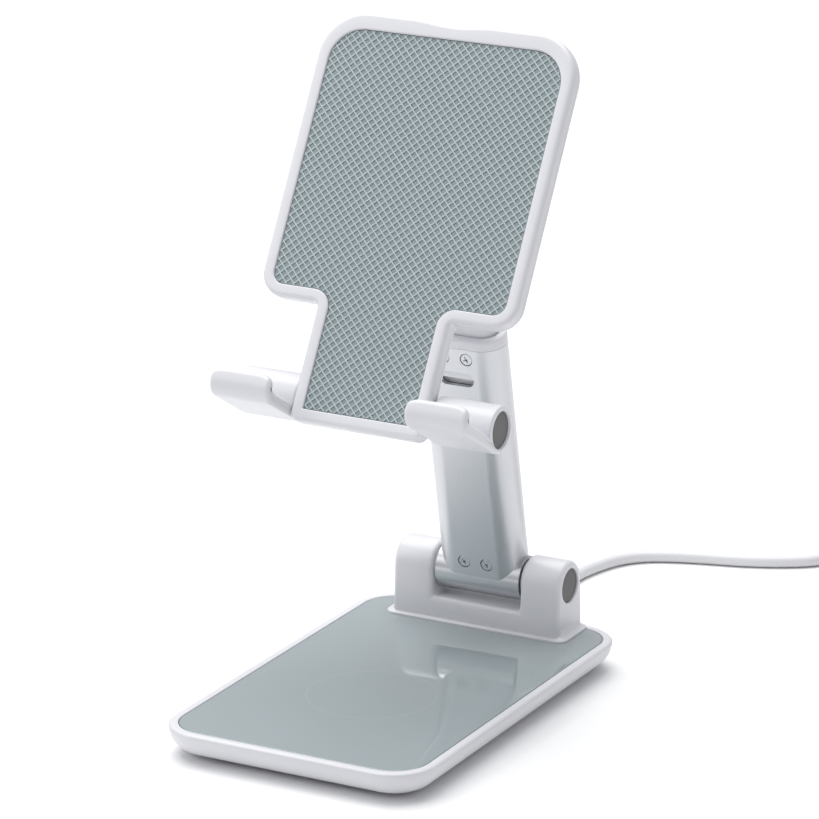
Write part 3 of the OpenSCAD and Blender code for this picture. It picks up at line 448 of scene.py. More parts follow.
# ---- Feet: dished discs of dark rubber, pressed in pockets of the bottom cover; their lower edge is rounded.
foot_rubber = moulded_plastic("foot_rubber", (0.075, 0.075, 0.08), 0.62, 0.4 * MM, 0.02 * MM, 0.12)
feet_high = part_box("base_feet")[1]
foot_radius = 7.5 * MM
foot_round = 0.7 * MM
foot_profile = [(1.7 * MM, foot_radius - 0.05 * MM), (0.9 * MM, foot_radius - 0.05 * MM)]
foot_profile += [(z, r) for r, z in arc((foot_radius - 0.75 * MM, foot_round), foot_round, 0, -90, 6)]
foot_profile += [(0, foot_radius - 1.4 * MM), (0.35 * MM, foot_radius - 1.9 * MM), (0.35 * MM, 0.2 * MM)]


def joined(name, parts):
    """One piece made of several finished ones."""
    mesh = bmesh.new()
    for part in parts:
        mesh.from_mesh(part.data)
    data = bpy.data.meshes.new(name)
    mesh.to_mesh(data)
    mesh.free()
    piece = add_piece(name, data, parts[0].data.materials[0])
    for part in parts:
        bpy.data.objects.remove(part)
    return piece


foot_parts = []
for side in (-1, 1):
    for end in (-1, 1):
        spot = Vector((side * (feet_high.x - foot_radius), end * (feet_high.y - foot_radius), 0))
        rings = turned(foot_profile, Matrix.Translation(spot), 48)
        foot_parts.append(skin(f"foot_{side}_{end}", rings, foot_rubber))
rubber_feet = joined("rubber_feet", foot_parts)
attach(rubber_feet, "base")
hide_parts("base_feet")

# ---- Bottom cover and what it closes in: grey ABS cover over a zinc-plated steel ballast, the copper
# charging coil on its ferrite sheet, and the circuit board. Screws hold the cover, and so all of them.
zinc_steel = brushed_metal("zinc_steel", (0.55, 0.56, 0.58), 0.38, (1, 1, 1), 0.004 * MM)
board_green = moulded_plastic("board_green", (0.02, 0.13, 0.05), 0.3, 0.8 * MM, 0.01 * MM, 0.2)
coil_copper = brushed_metal("coil_copper", (0.72, 0.33, 0.16), 0.3, (1, 1, 1))
for node, material in {
        "bottom_cover": moulded_plastic("cover_grey", (0.60, 0.60, 0.62), 0.5, 0.35 * MM, 0.012 * MM),
        "ballast_plate": zinc_steel,
        "charging_coil": coil_copper,
        "ferrite_sheet": moulded_plastic("ferrite_dark", (0.02, 0.02, 0.022), 0.6, 0.2 * MM, 0.01 * MM, 0.2),
        "circuit_board": board_green,
        "board_parts": moulded_plastic("chip_black", (0.012, 0.012, 0.013), 0.4, 0.2 * MM, 0.005 * MM, 0.2),
        "clamp_plate": zinc_steel,
        "bracket_screws": zinc_steel}.items():
    paint_node(node, material)

# ---- Screws: zinc-plated steel with a cross recess, cold headed and rolled. They show on the arm's front,
# the bar's back, the panel's back and the bottom cover.
screw_zinc = brushed_metal("screw_zinc", (0.60, 0.61, 0.63), 0.3, (1, 1, 1), 0.003 * MM)


def sized_tree(name, sizes):
    """A new Geometry Nodes tree with those sizes as inputs, then its input, its output and a maths helper."""
    tree = bpy.data.node_groups.new(name, "GeometryNodeTree")
    tree.interface.new_socket("Geometry", in_out="INPUT", socket_type="NodeSocketGeometry")
    for size, value in sizes.items():
        socket = tree.interface.new_socket(size, in_out="INPUT", socket_type="NodeSocketFloat")
        socket.default_value = value
    tree.interface.new_socket("Geometry", in_out="OUTPUT", socket_type="NodeSocketGeometry")

    def number(operation, *values):
        node = new_node(tree.nodes, "ShaderNodeMath", operation=operation)
        for socket, value in zip(node.inputs, values):
            if isinstance(value, (int, float)):
                socket.default_value = value
            else:
                tree.links.new(value, socket)
        return node.outputs[0]

    return tree, tree.nodes.new("NodeGroupInput"), tree.nodes.new("NodeGroupOutput"), number


def realized(tree, instances, material):
    """Instances inside a tree, made into mesh of one material."""
    made = tree.nodes.new("GeometryNodeRealizeInstances")
    tree.links.new(instances, made.inputs["Geometry"])
    return coated(tree, made.outputs["Geometry"], material)


def coated(tree, geometry, material):
    """A mesh inside a tree, set to one material."""
    coat = new_node(tree.nodes, "GeometryNodeSetMaterial", {"Material": material})
    tree.links.new(geometry, coat.inputs["Geometry"])
    return coat.outputs["Geometry"]


def screw_tree():
    """Sets a cross-recess screw head on every point of a mesh, its top facing +Z of the mesh."""
    tree, inputs, output, number = sized_tree("cross_screws", {
        "Head Radius": 1.85 * MM, "Head Height": 0.8 * MM, "Edge Round": 0.25 * MM,
        "Slot Length": 2.1 * MM, "Slot Width": 0.42 * MM, "Slot Depth": 0.22 * MM})
    nodes, links = tree.nodes, tree.links

    def moved(geometry, height):
        node = nodes.new("GeometryNodeTransform")
        spot = nodes.new("ShaderNodeCombineXYZ")
        links.new(height, spot.inputs["Z"])
        links.new(spot.outputs[0], node.inputs["Translation"])
        links.new(geometry, node.inputs["Geometry"])
        return node.outputs[0]

    def turned_part(low_radius, high_radius, height):
        cone = new_node(nodes, "GeometryNodeMeshCone", {"Vertices": 32})
        links.new(low_radius, cone.inputs["Radius Bottom"])
        links.new(high_radius, cone.inputs["Radius Top"])
        links.new(height, cone.inputs["Depth"])
        return cone.outputs["Mesh"]

    radius, height, edge = (inputs.outputs[n] for n in ("Head Radius", "Head Height", "Edge Round"))
    straight = number("SUBTRACT", height, edge)
    body = moved(turned_part(radius, radius, straight), number("MULTIPLY", height, -1))
    crown = moved(turned_part(radius, number("SUBTRACT", radius, edge), edge), number("MULTIPLY", edge, -1))
    head = new_node(nodes, "GeometryNodeMeshBoolean", operation="UNION")
    links.new(body, head.inputs["Mesh 2"])
    links.new(crown, head.inputs["Mesh 2"])
    recess = new_node(nodes, "GeometryNodeMeshBoolean", operation="DIFFERENCE")
    links.new(head.outputs["Mesh"], recess.inputs["Mesh 1"])
    slot_size = nodes.new("ShaderNodeCombineXYZ")
    links.new(inputs.outputs["Slot Length"], slot_size.inputs["X"])
    links.new(inputs.outputs["Slot Width"], slot_size.inputs["Y"])
    links.new(number("MULTIPLY", inputs.outputs["Slot Depth"], 2), slot_size.inputs["Z"])
    for turn in (math.radians(28), math.radians(118)):
        slot = nodes.new("GeometryNodeMeshCube")
        links.new(slot_size.outputs[0], slot.inputs["Size"])
        turned_slot = new_node(nodes, "GeometryNodeTransform", {"Rotation": (0, 0, turn)})
        links.new(slot.outputs["Mesh"], turned_slot.inputs["Geometry"])
        links.new(turned_slot.outputs[0], recess.inputs["Mesh 2"])
    setting = nodes.new("GeometryNodeInstanceOnPoints")
    links.new(inputs.outputs["Geometry"], setting.inputs["Points"])
    links.new(recess.outputs["Mesh"], setting.inputs["Instance"])
    links.new(realized(tree, setting.outputs["Instances"], screw_zinc), output.inputs["Geometry"])
    return tree


cross_screws = screw_tree()


def grown(name, mesh, tree, settings, place):
    """What a Geometry Nodes tree makes of a mesh, as a plain piece set in its place in the frame."""
    start = put_in_scene(name + "_start", mesh)
    modifier = start.modifiers.new("grown", "NODES")
    modifier.node_group = tree
    sockets = {item.name: item.identifier for item in tree.interface.items_tree
               if getattr(item, "in_out", "") == "INPUT"}
    for key, value in settings.items():
        modifier[sockets[key]] = value
    bpy.context.view_layer.update()
    result = bpy.data.meshes.new_from_object(start.evaluated_get(bpy.context.evaluated_depsgraph_get()))
    bpy.data.objects.remove(start)
    result.name = name
    result.transform(place)
    shaded(result)
    return put_in_scene(name, result)


def screws(name, spots, place, body, *nodes, **sizes):
    """Screw heads at those spots, facing +Z of their place, in the way the named CAD nodes are."""
    points = bpy.data.meshes.new(name)
    points.from_pydata([tuple(s) for s in spots], [], [])
    piece = grown(name, points, cross_screws, sizes, place)
    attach(piece, body)
    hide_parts(*nodes)


cover_low, cover_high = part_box("cover_screws")
cover_head = 2 * MM
cover_spots = [(sx * (cover_high.x - cover_head), sy * (cover_high.y - cover_head), 0)
               for sx in (-1, 1) for sy in (-1, 1)]
facing_down = Matrix.Translation((0, 0, cover_low.z + 0.1 * MM)) @ Matrix.Rotation(math.pi, 4, "X")
screws("cover_screw_heads", cover_spots, facing_down, "base", "cover_screws")

# ---- Hinge bracket: white ABS block with two ears, moulded in one with a flared foot that stands on the
# tray's deck through the plate. Four screws from below hold it. Its edges are well rounded.
pivot = Vector(joints["base_hinge"]["pos_m"])
ear_out = 26.1 * MM
ear_in = 13.75 * MM
ear_radius = 7.05 * MM
ear_draft = 3
ear_slope = math.radians(ear_draft)
foot_sink = 0.8 * MM
notch_floor = top + 6.6 * MM
notch_half = 20 * MM
bracket_round = 1.4 * MM
cap_radius = 4.85 * MM
bore_radius = cap_radius + 0.05 * MM


def sideways(side):
    """A turn that brings +Z to +X for the right side and to -X for the left."""
    return Matrix.Rotation(side * math.pi / 2, 4, "Y")


def cut(piece, cutter):
    """Takes the cutter's shape out of a piece and drops the cutter."""
    step = piece.modifiers.new("cut", "BOOLEAN")
    step.operation = "DIFFERENCE"
    step.solver = "EXACT"
    step.object = cutter
    apply_modifiers(piece)
    bpy.data.objects.remove(cutter)


def apply_modifiers(piece):
    """Makes a piece's modifiers into plain mesh."""
    bpy.context.view_layer.update()
    data = bpy.data.meshes.new_from_object(piece.evaluated_get(bpy.context.evaluated_depsgraph_get()))
    piece.modifiers.clear()
    piece.data = data


def tidy_faces(piece):
    """Merges the flat faces a cut has split, so that edges can be rounded cleanly."""
    mesh = bmesh.new()
    mesh.from_mesh(piece.data)
    bmesh.ops.remove_doubles(mesh, verts=mesh.verts, dist=0.002 * MM)
    bmesh.ops.dissolve_limit(mesh, angle_limit=math.radians(0.5), verts=mesh.verts, edges=mesh.edges)
    bmesh.ops.recalc_face_normals(mesh, faces=mesh.faces)
    mesh.to_mesh(piece.data)
    mesh.free()
    shaded(piece.data)


def round_edges(piece, width):
    """Rounds the sharp edges of a piece."""
    step = piece.modifiers.new("round", "BEVEL")
    step.width = width
    step.segments = 4
    step.limit_method = "ANGLE"
    step.angle_limit = math.radians(35)
    apply_modifiers(piece)
    shaded(piece.data, 40)


foot_half = ear_radius * math.cos(ear_slope)
foot_half += (pivot.z - top + ear_radius * math.sin(ear_slope)) * math.tan(ear_slope)
ear_section = [(pivot.y - foot_half, top - foot_sink), (pivot.y + foot_half, top - foot_sink)]
ear_section += arc((pivot.y, pivot.z), ear_radius, ear_draft, 180 - ear_draft, 26)
bracket = skin("bracket", [[Vector((x, y, z)) for y, z in ear_section] for x in (-ear_out, ear_out)],
               shell_white)
notch_loop = [(-ear_in, -notch_half), (ear_in, -notch_half), (ear_in, notch_half), (-ear_in, notch_half)]
cut(bracket, skin("notch", [[Vector((x, pivot.y + y, z)) for x, y in notch_loop]
                            for z in (notch_floor, notch_floor + 2 * notch_half)], shell_white))
tidy_faces(bracket)
round_edges(bracket, bracket_round)
mouth = [(ear_out + 1 * MM, bore_radius + 1.3 * MM), (ear_out - 0.25 * MM, bore_radius),
         (ear_out - 2.2 * MM, bore_radius)]
for side in (-1, 1):
    cut(bracket, skin("bore", turned(mouth, Matrix.Translation(pivot) @ sideways(side), 64), shell_white))
tidy_faces(bracket)
skirt_corner = 3 * MM
skirt_section = [(inset * MM, top + rise * MM) for inset, rise in (
    (0, -0.9), (0, 0.35), (0.12, 0.5), (0.5, 0.62), (1.0, 0.82), (1.5, 1.15), (1.9, 1.7), (2.15, 2.4),
    (2.3, 3.4))]
skirt_low, skirt_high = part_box("hinge_bracket")
skirt = skin("skirt", tray_rings(
    skirt_high.x - skirt_low.x, skirt_high.y - skirt_low.y, skirt_corner, skirt_section,
    (skirt_low + skirt_high) / 2), shell_white)
hinge_bracket = joined("bracket_with_ears", [bracket, skirt])
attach(hinge_bracket, "base")
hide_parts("hinge_bracket")

# ---- Bracket caps: dark grey moulded discs with a rounded edge, snapped in the ears over the pin's ends.
cap_grey = moulded_plastic("cap_grey", (0.105, 0.103, 0.1), 0.45, 0.25 * MM, 0.006 * MM, 0.08)
cap_sink = 0.5 * MM
cap_round = 0.3 * MM


def cap_pair(name, centre, end, radius):
    """Two discs that face outwards along X, one at each end, sunk a little below the faces round them."""
    face = end - cap_sink
    profile = [(face - 1.1 * MM, radius)]
    profile += [(face - cap_round + h, r) for r, h in arc((radius - cap_round, 0), cap_round, 0, 90, 5)]
    profile += [(face + 0.05 * MM, radius * 0.6), (face + 0.08 * MM, radius * 0.05)]
    parts = []
    for side in (-1, 1):
        place = Matrix.Translation(centre) @ sideways(side)
        parts.append(skin(name + str(side), turned(profile, place, 64), cap_grey))
    return joined(name, parts)


pin_caps = cap_pair("pin_caps", pivot, ear_out, cap_radius)
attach(pin_caps, "base")
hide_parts("bracket_caps")

# ---- Pins and what hides with them: ground steel pins with hexagon nuts and nylon friction washers, the hook
# shaft in nylon bushes, a steel strip behind the panel, and the nylon shoe and spring that guide the bar.
pin_steel = brushed_metal("pin_steel", (0.62, 0.62, 0.64), 0.25, (0.1, 1, 1))
washer_nylon = moulded_plastic("washer_nylon", (0.72, 0.72, 0.71), 0.5)
for node, material in {"lower_pin": pin_steel, "lower_pin_nut": zinc_steel, "lower_washers": washer_nylon,
                       "upper_pin": pin_steel, "upper_pin_nut": zinc_steel, "upper_washers": washer_nylon,
                       "shaft_bushes": washer_nylon, "hook_shaft": pin_steel, "hook_screws": zinc_steel,
                       "panel_stiffener": zinc_steel, "glide_spring": pin_steel,
                       "glide_shoe": cap_grey}.items():
    paint_node(node, material)

# ---- Arm: an extruded aluminium tube of oval section, satin anodised, on a turned aluminium knuckle that is
# plugged and screwed into its foot. The slot near its head holds a light grey nylon key that stops the bar.
arm_lean = math.radians(11.4)
reach = (Vector(joints["panel_tilt"]["pos_m"]) - pivot).length
arm_place = Matrix.Translation(pivot) @ Matrix.Rotation(arm_lean, 4, "X")
tube_half_width = 12.85 * MM
tube_half_depth = 6.2 * MM
tube_top = 73.4 * MM
aluminium = (0.63, 0.64, 0.66)
satin_aluminium = brushed_metal("satin_aluminium", aluminium, 0.36, (1, 1, 0.05), 0.0008 * MM,
                                (arm_lean, 0, 0))
knuckle_aluminium = brushed_metal("knuckle_aluminium", aluminium, 0.3, (0.05, 1, 1), 0.001 * MM)
paint_node("arm_tube", satin_aluminium)
paint_node("lower_knuckle", knuckle_aluminium)
paint_node("stop_key", moulded_plastic("key_grey", (0.72, 0.73, 0.74), 0.4))
facing_front = arm_place @ Matrix.Rotation(math.pi / 2, 4, "X")
arm_screw_x = 3.5 * MM
arm_screw_heights = (5.9 * MM, tube_top - 3 * MM)
arm_screw_sink = 0.06 * MM
screws("arm_screw_heads",
       [(side * arm_screw_x, height, tube_half_depth - arm_screw_sink)
        for height in arm_screw_heights for side in (-1, 1)],
       facing_front, "arm", "knuckle_screws", "collar_screws")

# ---- Collar: white acetal cap in the tube's mouth, held by two screws. Its hole guides the sliding bar, and
# its top edge is rounded all round.
bar_white = moulded_plastic("bar_white", (0.74, 0.74, 0.77), 0.34)


def oval_loop(half_width, half_depth):
    """Points of an oval with flat faces and round ends, counterclockwise."""
    flat = half_width - half_depth
    return arc((flat, 0), half_depth, -90, 90, 14) + arc((-flat, 0), half_depth, 90, 270, 14)


collar_top = tube_top + 3.2 * MM
collar_round = 1.1 * MM
collar_wall = 2.28 * MM
collar_section = [(0, tube_top + 0.06 * MM)]
collar_section += arc((collar_round, collar_top - collar_round), collar_round, 180, 90, 6)
collar_section += [(1.95 * MM, collar_top), (2.2 * MM, collar_top - 0.12 * MM),
                   (collar_wall, collar_top - 0.35 * MM), (collar_wall, tube_top)]
collar = skin("collar", [[arm_place @ Vector((x, y, height)) for x, y in
                          oval_loop(tube_half_width - inset, tube_half_depth - inset)]
                         for inset, height in collar_section], bar_white, closed=True)
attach(collar, "arm")
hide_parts("arm_collar")

# ---- Sliding bar: white ABS tube with the upper knuckle screwed in its head; both stay as the frame has
# them. Two screws hold the knuckle from behind.
paint_node("sliding_bar", bar_white)
paint_node("upper_knuckle", bar_white)
facing_back = arm_place @ Matrix.Rotation(-math.pi / 2, 4, "X")
bar_head = reach - 6.7 * MM
bar_screw_height = bar_head - 7 * MM
bar_screw_x = 4 * MM
bar_back = 3.82 * MM
screws("bar_screw_heads", [(side * bar_screw_x, -bar_screw_height, bar_back) for side in (-1, 1)],
       facing_back, "slider", "bar_screws")

# ---- Panel frame: white ABS moulding of the panel's front, a T with rounded corners, a narrow neck for the
# hooks and a shallow thumb scallop in its top edge. A sunk field holds the pad.
panel_lean = math.radians(-30.1)
panel_pivot = Vector(joints["panel_tilt"]["pos_m"])
panel_place = Matrix.Translation(panel_pivot) @ Matrix.Rotation(panel_lean, 4, "X")
panel_half = 38.45 * MM
neck_half = 19.8 * MM
panel_top = 34.2 * MM
shoulder = -46.7 * MM
neck_foot = -79.3 * MM
panel_rim = 3.6 * MM
top_rim = 5 * MM
pad_face = -14 * MM
rim_proud = 0.4 * MM
front_round = 1.3 * MM
seam = pad_face + 3.2 * MM
panel_back = pad_face + 7 * MM
scallop_half = 13 * MM
scallop_depth = 1.25 * MM
scallop_steps = 12


def panel_loop(inset):
    """The panel's outline drawn in by a margin, and further at its top edge, in X and height."""
    half, neck = panel_half - inset, neck_half - inset
    extra = (top_rim - panel_rim) * ease((inset - front_round) / (panel_rim - 2 * front_round))
    head = panel_top - inset - extra
    under, foot = shoulder + inset, neck_foot + inset
    head_round = 13 * MM - inset
    under_round = max(7 * MM - inset, 2.6 * MM)
    toe_round = max(2.5 * MM - inset, 0.35 * MM)
    fillet = 1.6 * MM + inset
    loop = arc((half - under_round, under + under_round), under_round, 270, 360, 10)
    loop += arc((half - head_round, head - head_round), head_round, 0, 90, 14)
    dip = scallop_depth * max(0, 1 - inset / (0.8 * panel_rim))
    for i in range(1, 2 * scallop_steps):
        x = scallop_half * (1 - i / scallop_steps)
        loop.append((x, head - dip * 0.5 * (1 + math.cos(math.pi * x / scallop_half))))
    loop += arc((-half + head_round, head - head_round), head_round, 90, 180, 14)
    loop += arc((-half + under_round, under + under_round), under_round, 180, 270, 10)
    loop += arc((-neck - fillet, under - fillet), fillet, 90, 0, 8)
    loop += arc((-neck + toe_round, foot + toe_round), toe_round, 180, 270, 6)
    loop += arc((neck - toe_round, foot + toe_round), toe_round, 270, 360, 6)
    loop += arc((neck + fillet, under - fillet), fillet, 180, 90, 8)
    return loop


def panel_shell(name, section):
    """A closed shell over panel outlines: the section holds (how far one is drawn in, its depth)."""
    return skin(name, [[panel_place @ Vector((x, depth, z)) for x, z in panel_loop(inset)]
                       for inset, depth in section], shell_white)


rim_top = pad_face - rim_proud
inner_round = 0.4 * MM
frame_section = [(0.9 * MM, seam), (0.12 * MM, seam), (0, seam - 0.12 * MM)]
frame_section += arc((front_round, rim_top + front_round), front_round, 180, 270, 7)
frame_section += arc((panel_rim - 0.55 * MM, rim_top + inner_round), inner_round, 270, 360, 4)
frame_section += [(panel_rim - 0.15 * MM, pad_face + 1.4 * MM)]
panel_front = panel_shell("panel_front", frame_section)
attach(panel_front, "panel")
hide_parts("panel_frame")

# ---- Panel back: white ABS shell that closes the frame from behind, with two lugs for the upper pin and a
# round housing for the hook shaft across the foot of the neck. Six screws go through it into the frame.
back_section = [(0.9 * MM, seam), (0.15 * MM, seam + 0.02 * MM), (0.02 * MM, seam + 0.16 * MM)]
back_round = 4.58 * MM
back_start = seam + 0.2 * MM
back_section += oval_arc((back_round + 0.02 * MM, back_start), back_round, panel_back - back_start,
                         180, 90, 12)
panel_cover = panel_shell("panel_cover", back_section)
screw_spots = [(-28, 20), (28, 20), (-28, -34), (28, -34), (-12, -56), (12, -56)]
panel_behind = panel_place @ Matrix.Rotation(-math.pi / 2, 4, "X")
well_radius = 2 * MM
well_profile = [(panel_back - 1 * MM, well_radius), (panel_back + 1 * MM, well_radius)]
wells = []
for x, z in screw_spots:
    well_place = panel_behind @ Matrix.Translation((x * MM, -z * MM, 0))
    wells.append(skin(f"well_{x}_{z}", turned(well_profile, well_place, 32), shell_white))
cut(panel_cover, joined("wells", wells))
tidy_faces(panel_cover)
lug_in, lug_out = 8.4 * MM, 13.4 * MM
lug_round, lug_foot = 6 * MM, 7.2 * MM
lug_root = panel_back - 0.5 * MM
lug_edge = 0.7 * MM
lug_section = [(lug_root, -lug_foot)] + arc((0, 0), lug_round, -108, 108, 26) + [(lug_root, lug_foot)]
seat_radius = 3.7 * MM
seat_profile = [(lug_out - 1.9 * MM, seat_radius), (lug_out + 1 * MM, seat_radius)]
back_parts = [panel_cover]
for side in (-1, 1):
    lug = skin(f"lug_{side}", [[panel_place @ Vector((side * x, y, z)) for y, z in lug_section]
                               for x in (lug_in, lug_out)], shell_white)
    round_edges(lug, lug_edge)
    cut(lug, skin("seat", turned(seat_profile, panel_place @ sideways(side), 48), shell_white))
    tidy_faces(lug)
    back_parts.append(lug)
shaft = Vector(joints["hook_fold"]["pos_m"])
housing_end = neck_half - 0.05 * MM
housing_radius = 4.2 * MM
housing_half = [(housing_end - along * MM, housing_radius - inwards * MM)
                for along, inwards in ((0.4, 0), (0.12, 0.12), (0, 0.4), (0, 0.8))]
housing_profile = [(-along, radius) for along, radius in reversed(housing_half)] + housing_half
shaft_place = Matrix.Translation(shaft) @ Matrix.Rotation(panel_lean, 4, "X")
back_parts.append(skin("shaft_housing", turned(housing_profile, shaft_place @ sideways(1), 48), shell_white))
panel_rear = joined("panel_rear", back_parts)
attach(panel_rear, "panel")
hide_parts("panel_back")
screw_seat = panel_back - 0.1 * MM
screws("panel_screw_heads", [(x * MM, -z * MM, screw_seat) for x, z in screw_spots], panel_behind, "panel",
       "panel_screws", **{"Head Height": 0.85 * MM})

# ---- Pad: blue-grey silicone sheet, 1.5 mm thick, moulded with a lattice of fine raised lines at 45 degrees
# and glued in the frame's sunk field. The raised lines carry a painted highlight: they are painted paler than
# the sunk diamonds between them.
pad_edge = 0.12 * MM
pad_middle = -23 * MM
pad_half_height = 55 * MM
pit_margin = 2.4 * MM


def pad_silicone_ridge_highlight():
    """Matte silicone with a painted highlight: paler on the raised lines than in the pits."""
    material = moulded_plastic("pad_silicone_ridge_highlight", (0.29, 0.35, 0.365), 0.55, 0.15 * MM, 0.01 * MM, 0.05)
    nodes, links = material.node_tree.nodes, material.node_tree.links
    place = nodes.new("ShaderNodeTexCoord")
    local = new_node(nodes, "ShaderNodeMapping", vector_type="TEXTURE")
    local.inputs["Location"].default_value = panel_pivot
    local.inputs["Rotation"].default_value = (panel_lean, 0, 0)
    links.new(place.outputs["Object"], local.inputs["Vector"])
    split = nodes.new("ShaderNodeSeparateXYZ")
    links.new(local.outputs["Vector"], split.inputs["Vector"])
    # Painted highlight: the tops of the raised lines get a paler colour than the pits.
    height = new_node(nodes, "ShaderNodeMapRange", {
        "From Min": pad_face + 0.16 * MM, "From Max": pad_face + 0.03 * MM})
    links.new(split.outputs["Y"], height.inputs["Value"])
    return overpainted(material, height.outputs["Result"], (0.46, 0.52, 0.53))


def lattice_tree(material):
    """Presses a lattice of square-mouthed pits into the slab it is given, whose face is at height 0."""
    tree, inputs, output, number = sized_tree("pad_lattice", {
        "Pitch": 1.74 * MM, "Pit Mouth": 1.5 * MM, "Pit Floor": 1.2 * MM, "Pit Depth": 0.3 * MM,
        "Lattice Side": 150 * MM})
    nodes, links = tree.nodes, tree.links
    pitch = inputs.outputs["Pitch"]
    count = number("ROUND", number("DIVIDE", inputs.outputs["Lattice Side"], pitch))
    grid = nodes.new("GeometryNodeMeshGrid")
    size = number("MULTIPLY", count, pitch)
    for side in ("Size X", "Size Y"):
        links.new(size, grid.inputs[side])
    for side in ("Vertices X", "Vertices Y"):
        links.new(number("ADD", count, 1), grid.inputs[side])
    diagonal = new_node(nodes, "GeometryNodeTransform", {
        "Rotation": (0, 0, math.radians(45)), "Translation": (0, pad_middle, 0)})
    links.new(grid.outputs["Mesh"], diagonal.inputs["Geometry"])
    spot = nodes.new("GeometryNodeInputPosition")
    parts = nodes.new("ShaderNodeSeparateXYZ")
    links.new(spot.outputs[0], parts.inputs[0])
    across = number("ABSOLUTE", parts.outputs["X"])
    along = number("ABSOLUTE", number("SUBTRACT", parts.outputs["Y"], pad_middle))
    outside = number("MAXIMUM", number("GREATER_THAN", across, panel_half - pit_margin),
                     number("GREATER_THAN", along, pad_half_height))
    spare = nodes.new("GeometryNodeDeleteGeometry")
    links.new(diagonal.outputs[0], spare.inputs["Geometry"])
    links.new(outside, spare.inputs["Selection"])
    pit = new_node(nodes, "GeometryNodeMeshCone", {"Vertices": 4})
    half_diagonal = math.sqrt(0.5)
    links.new(number("MULTIPLY", inputs.outputs["Pit Floor"], half_diagonal), pit.inputs["Radius Bottom"])
    links.new(number("MULTIPLY", inputs.outputs["Pit Mouth"], half_diagonal), pit.inputs["Radius Top"])
    links.new(number("MULTIPLY", inputs.outputs["Pit Depth"], 1.25), pit.inputs["Depth"])
    sunk = nodes.new("GeometryNodeTransform")
    drop = nodes.new("ShaderNodeCombineXYZ")
    links.new(number("MULTIPLY", inputs.outputs["Pit Depth"], -1), drop.inputs["Z"])
    links.new(drop.outputs[0], sunk.inputs["Translation"])
    links.new(pit.outputs["Mesh"], sunk.inputs["Geometry"])
    pits = nodes.new("GeometryNodeInstanceOnPoints")
    links.new(spare.outputs["Geometry"], pits.inputs["Points"])
    links.new(sunk.outputs[0], pits.inputs["Instance"])
    pressed = new_node(nodes, "GeometryNodeMeshBoolean", operation="DIFFERENCE", solver="EXACT")
    links.new(inputs.outputs["Geometry"], pressed.inputs["Mesh 1"])
    links.new(realized(tree, pits.outputs["Instances"], material), pressed.inputs["Mesh 2"])
    links.new(coated(tree, pressed.outputs["Mesh"], material), output.inputs["Geometry"])
    return tree


pad_grey = pad_silicone_ridge_highlight()
pad_rows = [[Vector((x, z, height)) for x, z in panel_loop(inset)] for inset, height in
            ((panel_rim, -1.45 * MM), (panel_rim, -pad_edge), (panel_rim + pad_edge, 0))]
pad_slab = skin("pad_slab", pad_rows, pad_grey)
pad_front = panel_place @ Matrix.Rotation(math.pi / 2, 4, "X") @ Matrix.Translation((0, 0, -pad_face))
panel_pad = grown("lattice_pad", pad_slab.data, lattice_tree(pad_grey), {}, pad_front)
bpy.data.objects.remove(pad_slab)
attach(panel_pad, "panel")
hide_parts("panel_pad")

# ---- Hooks: two white ABS hooks keyed on one steel shaft, so they fold up together beside the neck. Each is
# a barrel with a flat floor and an upright lip whose corners are rounded.
hook_radius = 6.5 * MM
hook_in, hook_end = 20.1 * MM, 38.45 * MM
lip_front = -21.7 * MM
lip_wall = 3 * MM
hook_under = -hook_radius
floor_top = hook_under + 3.5 * MM
lip_top = hook_under + 7.4 * MM
hook_bend = 4.5 * MM
floor_fillet = 2.2 * MM


def hook_section(top_of_lip, inset, barrel_inset):
    """The hook seen from its end, with its lip up to that height and its outline drawn in by the insets."""
    rise = top_of_lip - floor_top - inset
    half_wall = lip_wall / 2 - inset
    crown = min(half_wall, 0.45 * rise)
    fillet = min(floor_fillet, 0.5 * rise)
    radius = hook_radius - barrel_inset
    meet = math.degrees(math.asin((inset - floor_top) / radius))
    points = arc((lip_front + hook_bend, hook_under + hook_bend), hook_bend - inset, 270, 180, 10)
    points += oval_arc((lip_front + lip_wall / 2, top_of_lip - inset - crown), half_wall, crown, 180, 0, 10)
    points += oval_arc((lip_front + lip_wall + floor_fillet, floor_top + fillet), floor_fillet + inset,
                       fillet + inset, 180, 270, 8)
    points += arc((0, 0), radius, 180 + meet, -90, 44)
    return points


def rounding(distance, radius, height):
    """How far a rounded corner has dropped, that distance from the end it rounds."""
    return height * (1 - math.sqrt(1 - max(0, 1 - distance / radius) ** 2))


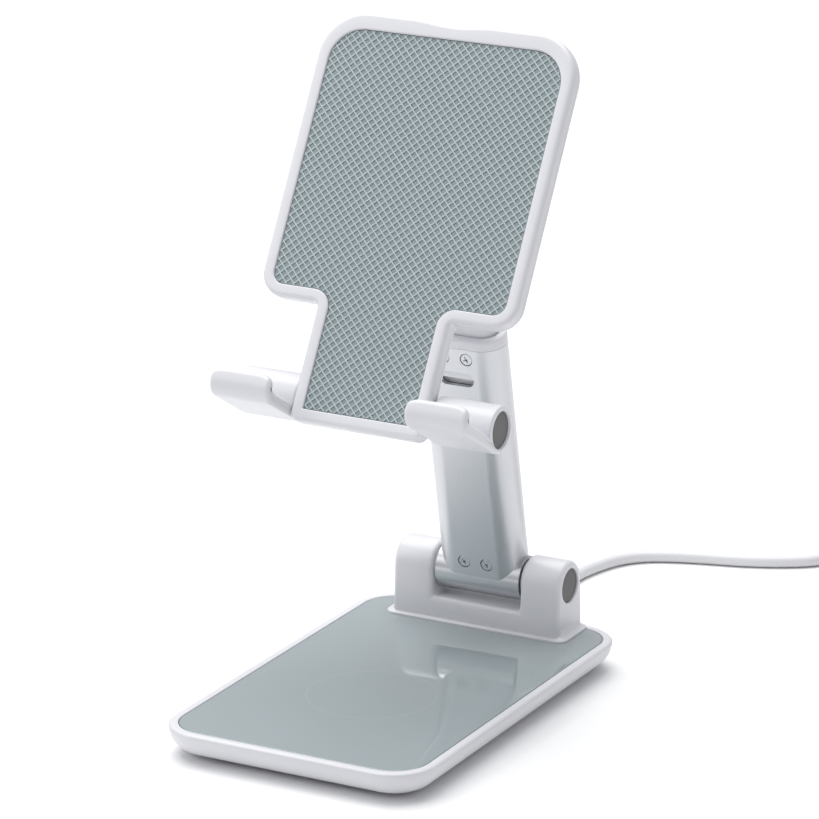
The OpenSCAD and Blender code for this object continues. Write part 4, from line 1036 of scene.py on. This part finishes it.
def hook(side):
    """A hook swept from its inner to its outer end, both rounded, with the lip's top corners well rounded."""
    corner, lip_drop, end_round, barrel_round = 4.2 * MM, 2.25 * MM, 1.25 * MM, 0.7 * MM
    hook_bore, bore_depth = 5.12 * MM, 2 * MM
    length = hook_end - hook_in
    steps = [width * (1 - math.cos(math.pi / 20 * i)) for width in (corner, end_round) for i in range(11)]
    stations = sorted({round(along, 5) for step in steps for along in (step, length - step)})
    rings = []
    for along in stations:
        near = min(along, length - along)
        section = hook_section(lip_top - rounding(near, corner, lip_drop),
                               rounding(near, end_round, end_round),
                               rounding(near, barrel_round, barrel_round))
        rings.append([shaft_place @ Vector((side * (hook_in + along), y, z)) for y, z in section])
    piece = skin(f"hook_{side}", rings, shell_white)
    mouth = [(hook_end + 1 * MM, hook_bore), (hook_end - bore_depth, hook_bore)]
    cut(piece, skin("bore", turned(mouth, shaft_place @ sideways(side), 64), shell_white))
    return piece


for side, node in ((-1, "left_hook"), (1, "right_hook")):
    shaped_hook = hook(side)
    shaped_hook.name = node.replace("_hook", "_phone_hook")
    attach(shaped_hook, "hooks")
    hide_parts(node)
end_caps = cap_pair("hook_end_caps", shaft, hook_end, 5.05 * MM)
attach(end_caps, "hooks")
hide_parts("hook_caps")

# ---- Table and light: a pale matte table under a large soft lamp overhead, with weaker soft lamps at both
# sides and an even pale sky.
table_mesh = bpy.data.meshes.new("table")
table_mesh.from_pydata([(-4, -4, 0), (4, -4, 0), (4, 4, 0), (-4, 4, 0)], [], [(0, 1, 2, 3)])
table_white = moulded_plastic("table_white", (0.9, 0.9, 0.9), 0.7, 3 * MM, 0.01 * MM, 0.01)
table = add_piece("table", table_mesh, table_white)


def soft_lamp(name, spot, size, power):
    """A square soft box at a spot, turned towards the middle of the stand."""
    data = bpy.data.lights.new(name, "AREA")
    data.size = size
    data.energy = power
    lamp = put_in_scene(name, data)
    lamp.location = spot
    lamp.rotation_euler = (Vector((0, 0, 0.09)) - Vector(spot)).to_track_quat("-Z", "Y").to_euler()


soft_lamp("overhead", (-0.3, 0.25, 1.3), 1.4, 22)
soft_lamp("left_front", (-1.1, -0.9, 0.9), 0.9, 4.5)
soft_lamp("right_fill", (1.3, -0.4, 0.6), 0.8, 0.25)
world = bpy.data.worlds.new("studio")
world.use_nodes = True
world.node_tree.nodes["Background"].inputs["Color"].default_value = (0.95, 0.96, 1, 1)
world.node_tree.nodes["Background"].inputs["Strength"].default_value = 0.5
bpy.context.scene.world = world
bpy.context.scene.view_settings.view_transform = "Standard"
